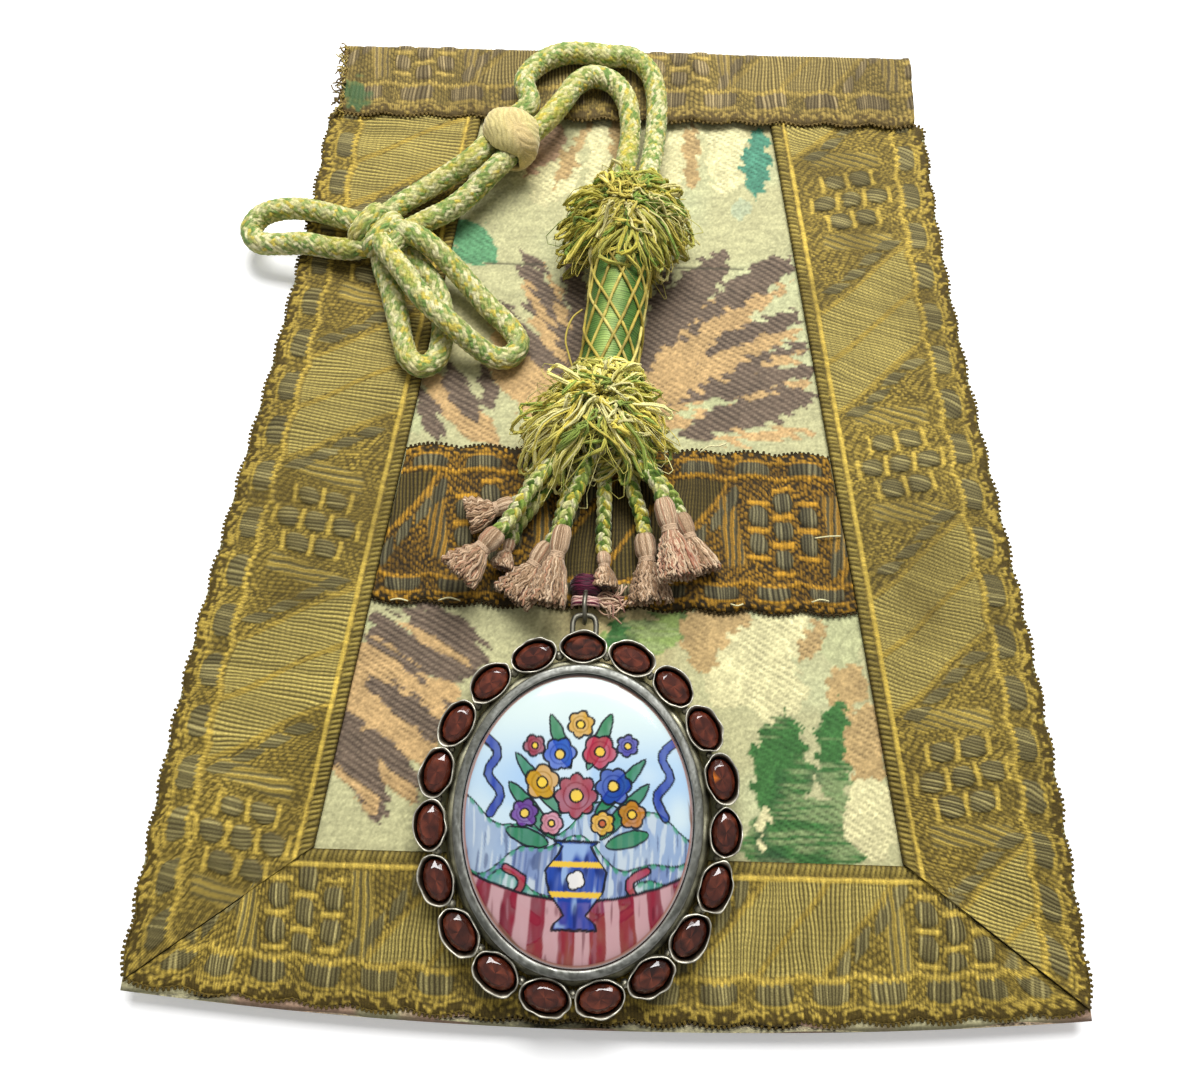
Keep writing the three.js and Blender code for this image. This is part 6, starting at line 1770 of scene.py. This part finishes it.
def stray_threads():
    """Threads that have come off: single ones on the face, and the top galloon's frayed end."""
    made = []
    for line in STRAYS:
        last = len(line) - 1
        path = [(x, y, GALLOON_TOP + 0.75 + 0.5 * (0 < k < last)) for k, (x, y) in enumerate(line)]
        made.append(tubes(line_through(path, 0.5), 0.16, linear("cfc89a"), 6))
    for k, (y, lift) in enumerate(FRAYED_END):
        made.append(frayed((-FLAP_HALF + 0.8, y, FLAP_TOP + lift - 0.6), 12, math.pi + 0.3, 1.2, 3.4, 0.16,
                           ["7a6430", "94803c", "5c4a26", "a8975a"], 150 + k))
    piece("loose_threads", made, LOOPED, "panel")


core_board()
back_lining()
stray_threads()


# Light, floor and surroundings


LIGHT_AT = np.array([0.06, 0.4, 0.62])  # in metres, as is what it faces
LIGHT_FACES = np.array([0, -0.02, 0])
LIGHT_SIZE = (0.5, 0.35)
LIGHT_WATTS = 9


def make_light():
    """One large soft window of light, beyond the top edge of the panel."""
    data = bpy.data.lights.new("window", "AREA")
    data.shape = "RECTANGLE"
    data.size, data.size_y = LIGHT_SIZE
    data.energy = LIGHT_WATTS
    made = put_in_scene("window", data)
    back = unit(LIGHT_AT - LIGHT_FACES)
    side = unit(np.cross([0, 0, 1], back))
    up = np.cross(back, side)
    turn = Matrix(np.column_stack([side, up, back]).tolist()).to_4x4()
    made.matrix_world = Matrix.Translation(LIGHT_AT) @ turn


def make_surroundings():
    """White as far as the camera sees them, also through the stones, and a dimmer fill of light."""
    world = bpy.data.worlds.new("studio")
    world.use_nodes = True
    world.node_tree.nodes.clear()
    rays = add(world, "LightPath").outputs
    seen = add(world, "Math", {0: rays["Is Camera Ray"], 1: rays["Is Transmission Ray"]}, operation="MAXIMUM")
    # the upper level makes white of the background node's own 0.8
    level = add(world, "MapRange", {"Value": seen.outputs[0], "To Min": 0.46, "To Max": 1.25})
    shader = add(world, "Background", {"Strength": level.outputs[0]})
    add(world, "OutputWorld", {"Surface": shader.outputs[0]})
    bpy.context.scene.world = world


def make_floor():
    """White paper: it takes shadows near the panel and fades to plain white farther off."""
    material = new_material("white_paper_floor")
    rays = add(material, "LightPath")
    paper = add(material, "BsdfDiffuse", {"Color": (0.9, 0.9, 0.9, 1)})
    place = add(material, "TexCoord").outputs["Object"]
    away = add(material, "VectorMath", {0: place}, operation="LENGTH")
    fade = add(material, "MapRange", {"Value": away.outputs["Value"], "From Min": 0.2, "From Max": 0.5,
                                      "To Min": 0.22, "To Max": 1.0})
    glow = add(material, "Emission", {"Strength": fade.outputs[0]})
    nothing = add(material, "Emission", {"Strength": 0.0})
    shown = add(material, "MixShader", {
        0: rays.outputs["Is Camera Ray"], 1: nothing.outputs[0], 2: glow.outputs[0]})
    both = add(material, "AddShader", {0: paper.outputs[0], 1: shown.outputs[0]})
    add(material, "OutputMaterial", {"Surface": both.outputs[0]})
    mesh = bpy.data.meshes.new("floor")
    wide, low = 3, -0.0004
    mesh.from_pydata([(-wide, -wide, low), (wide, -wide, low), (wide, wide, low), (-wide, wide, low)], [],
                     [(0, 1, 2, 3)])
    mesh.materials.append(material)
    put_in_scene("floor", mesh)


make_light()
make_surroundings()
make_floor()
bpy.context.scene.view_settings.view_transform = "Standard"
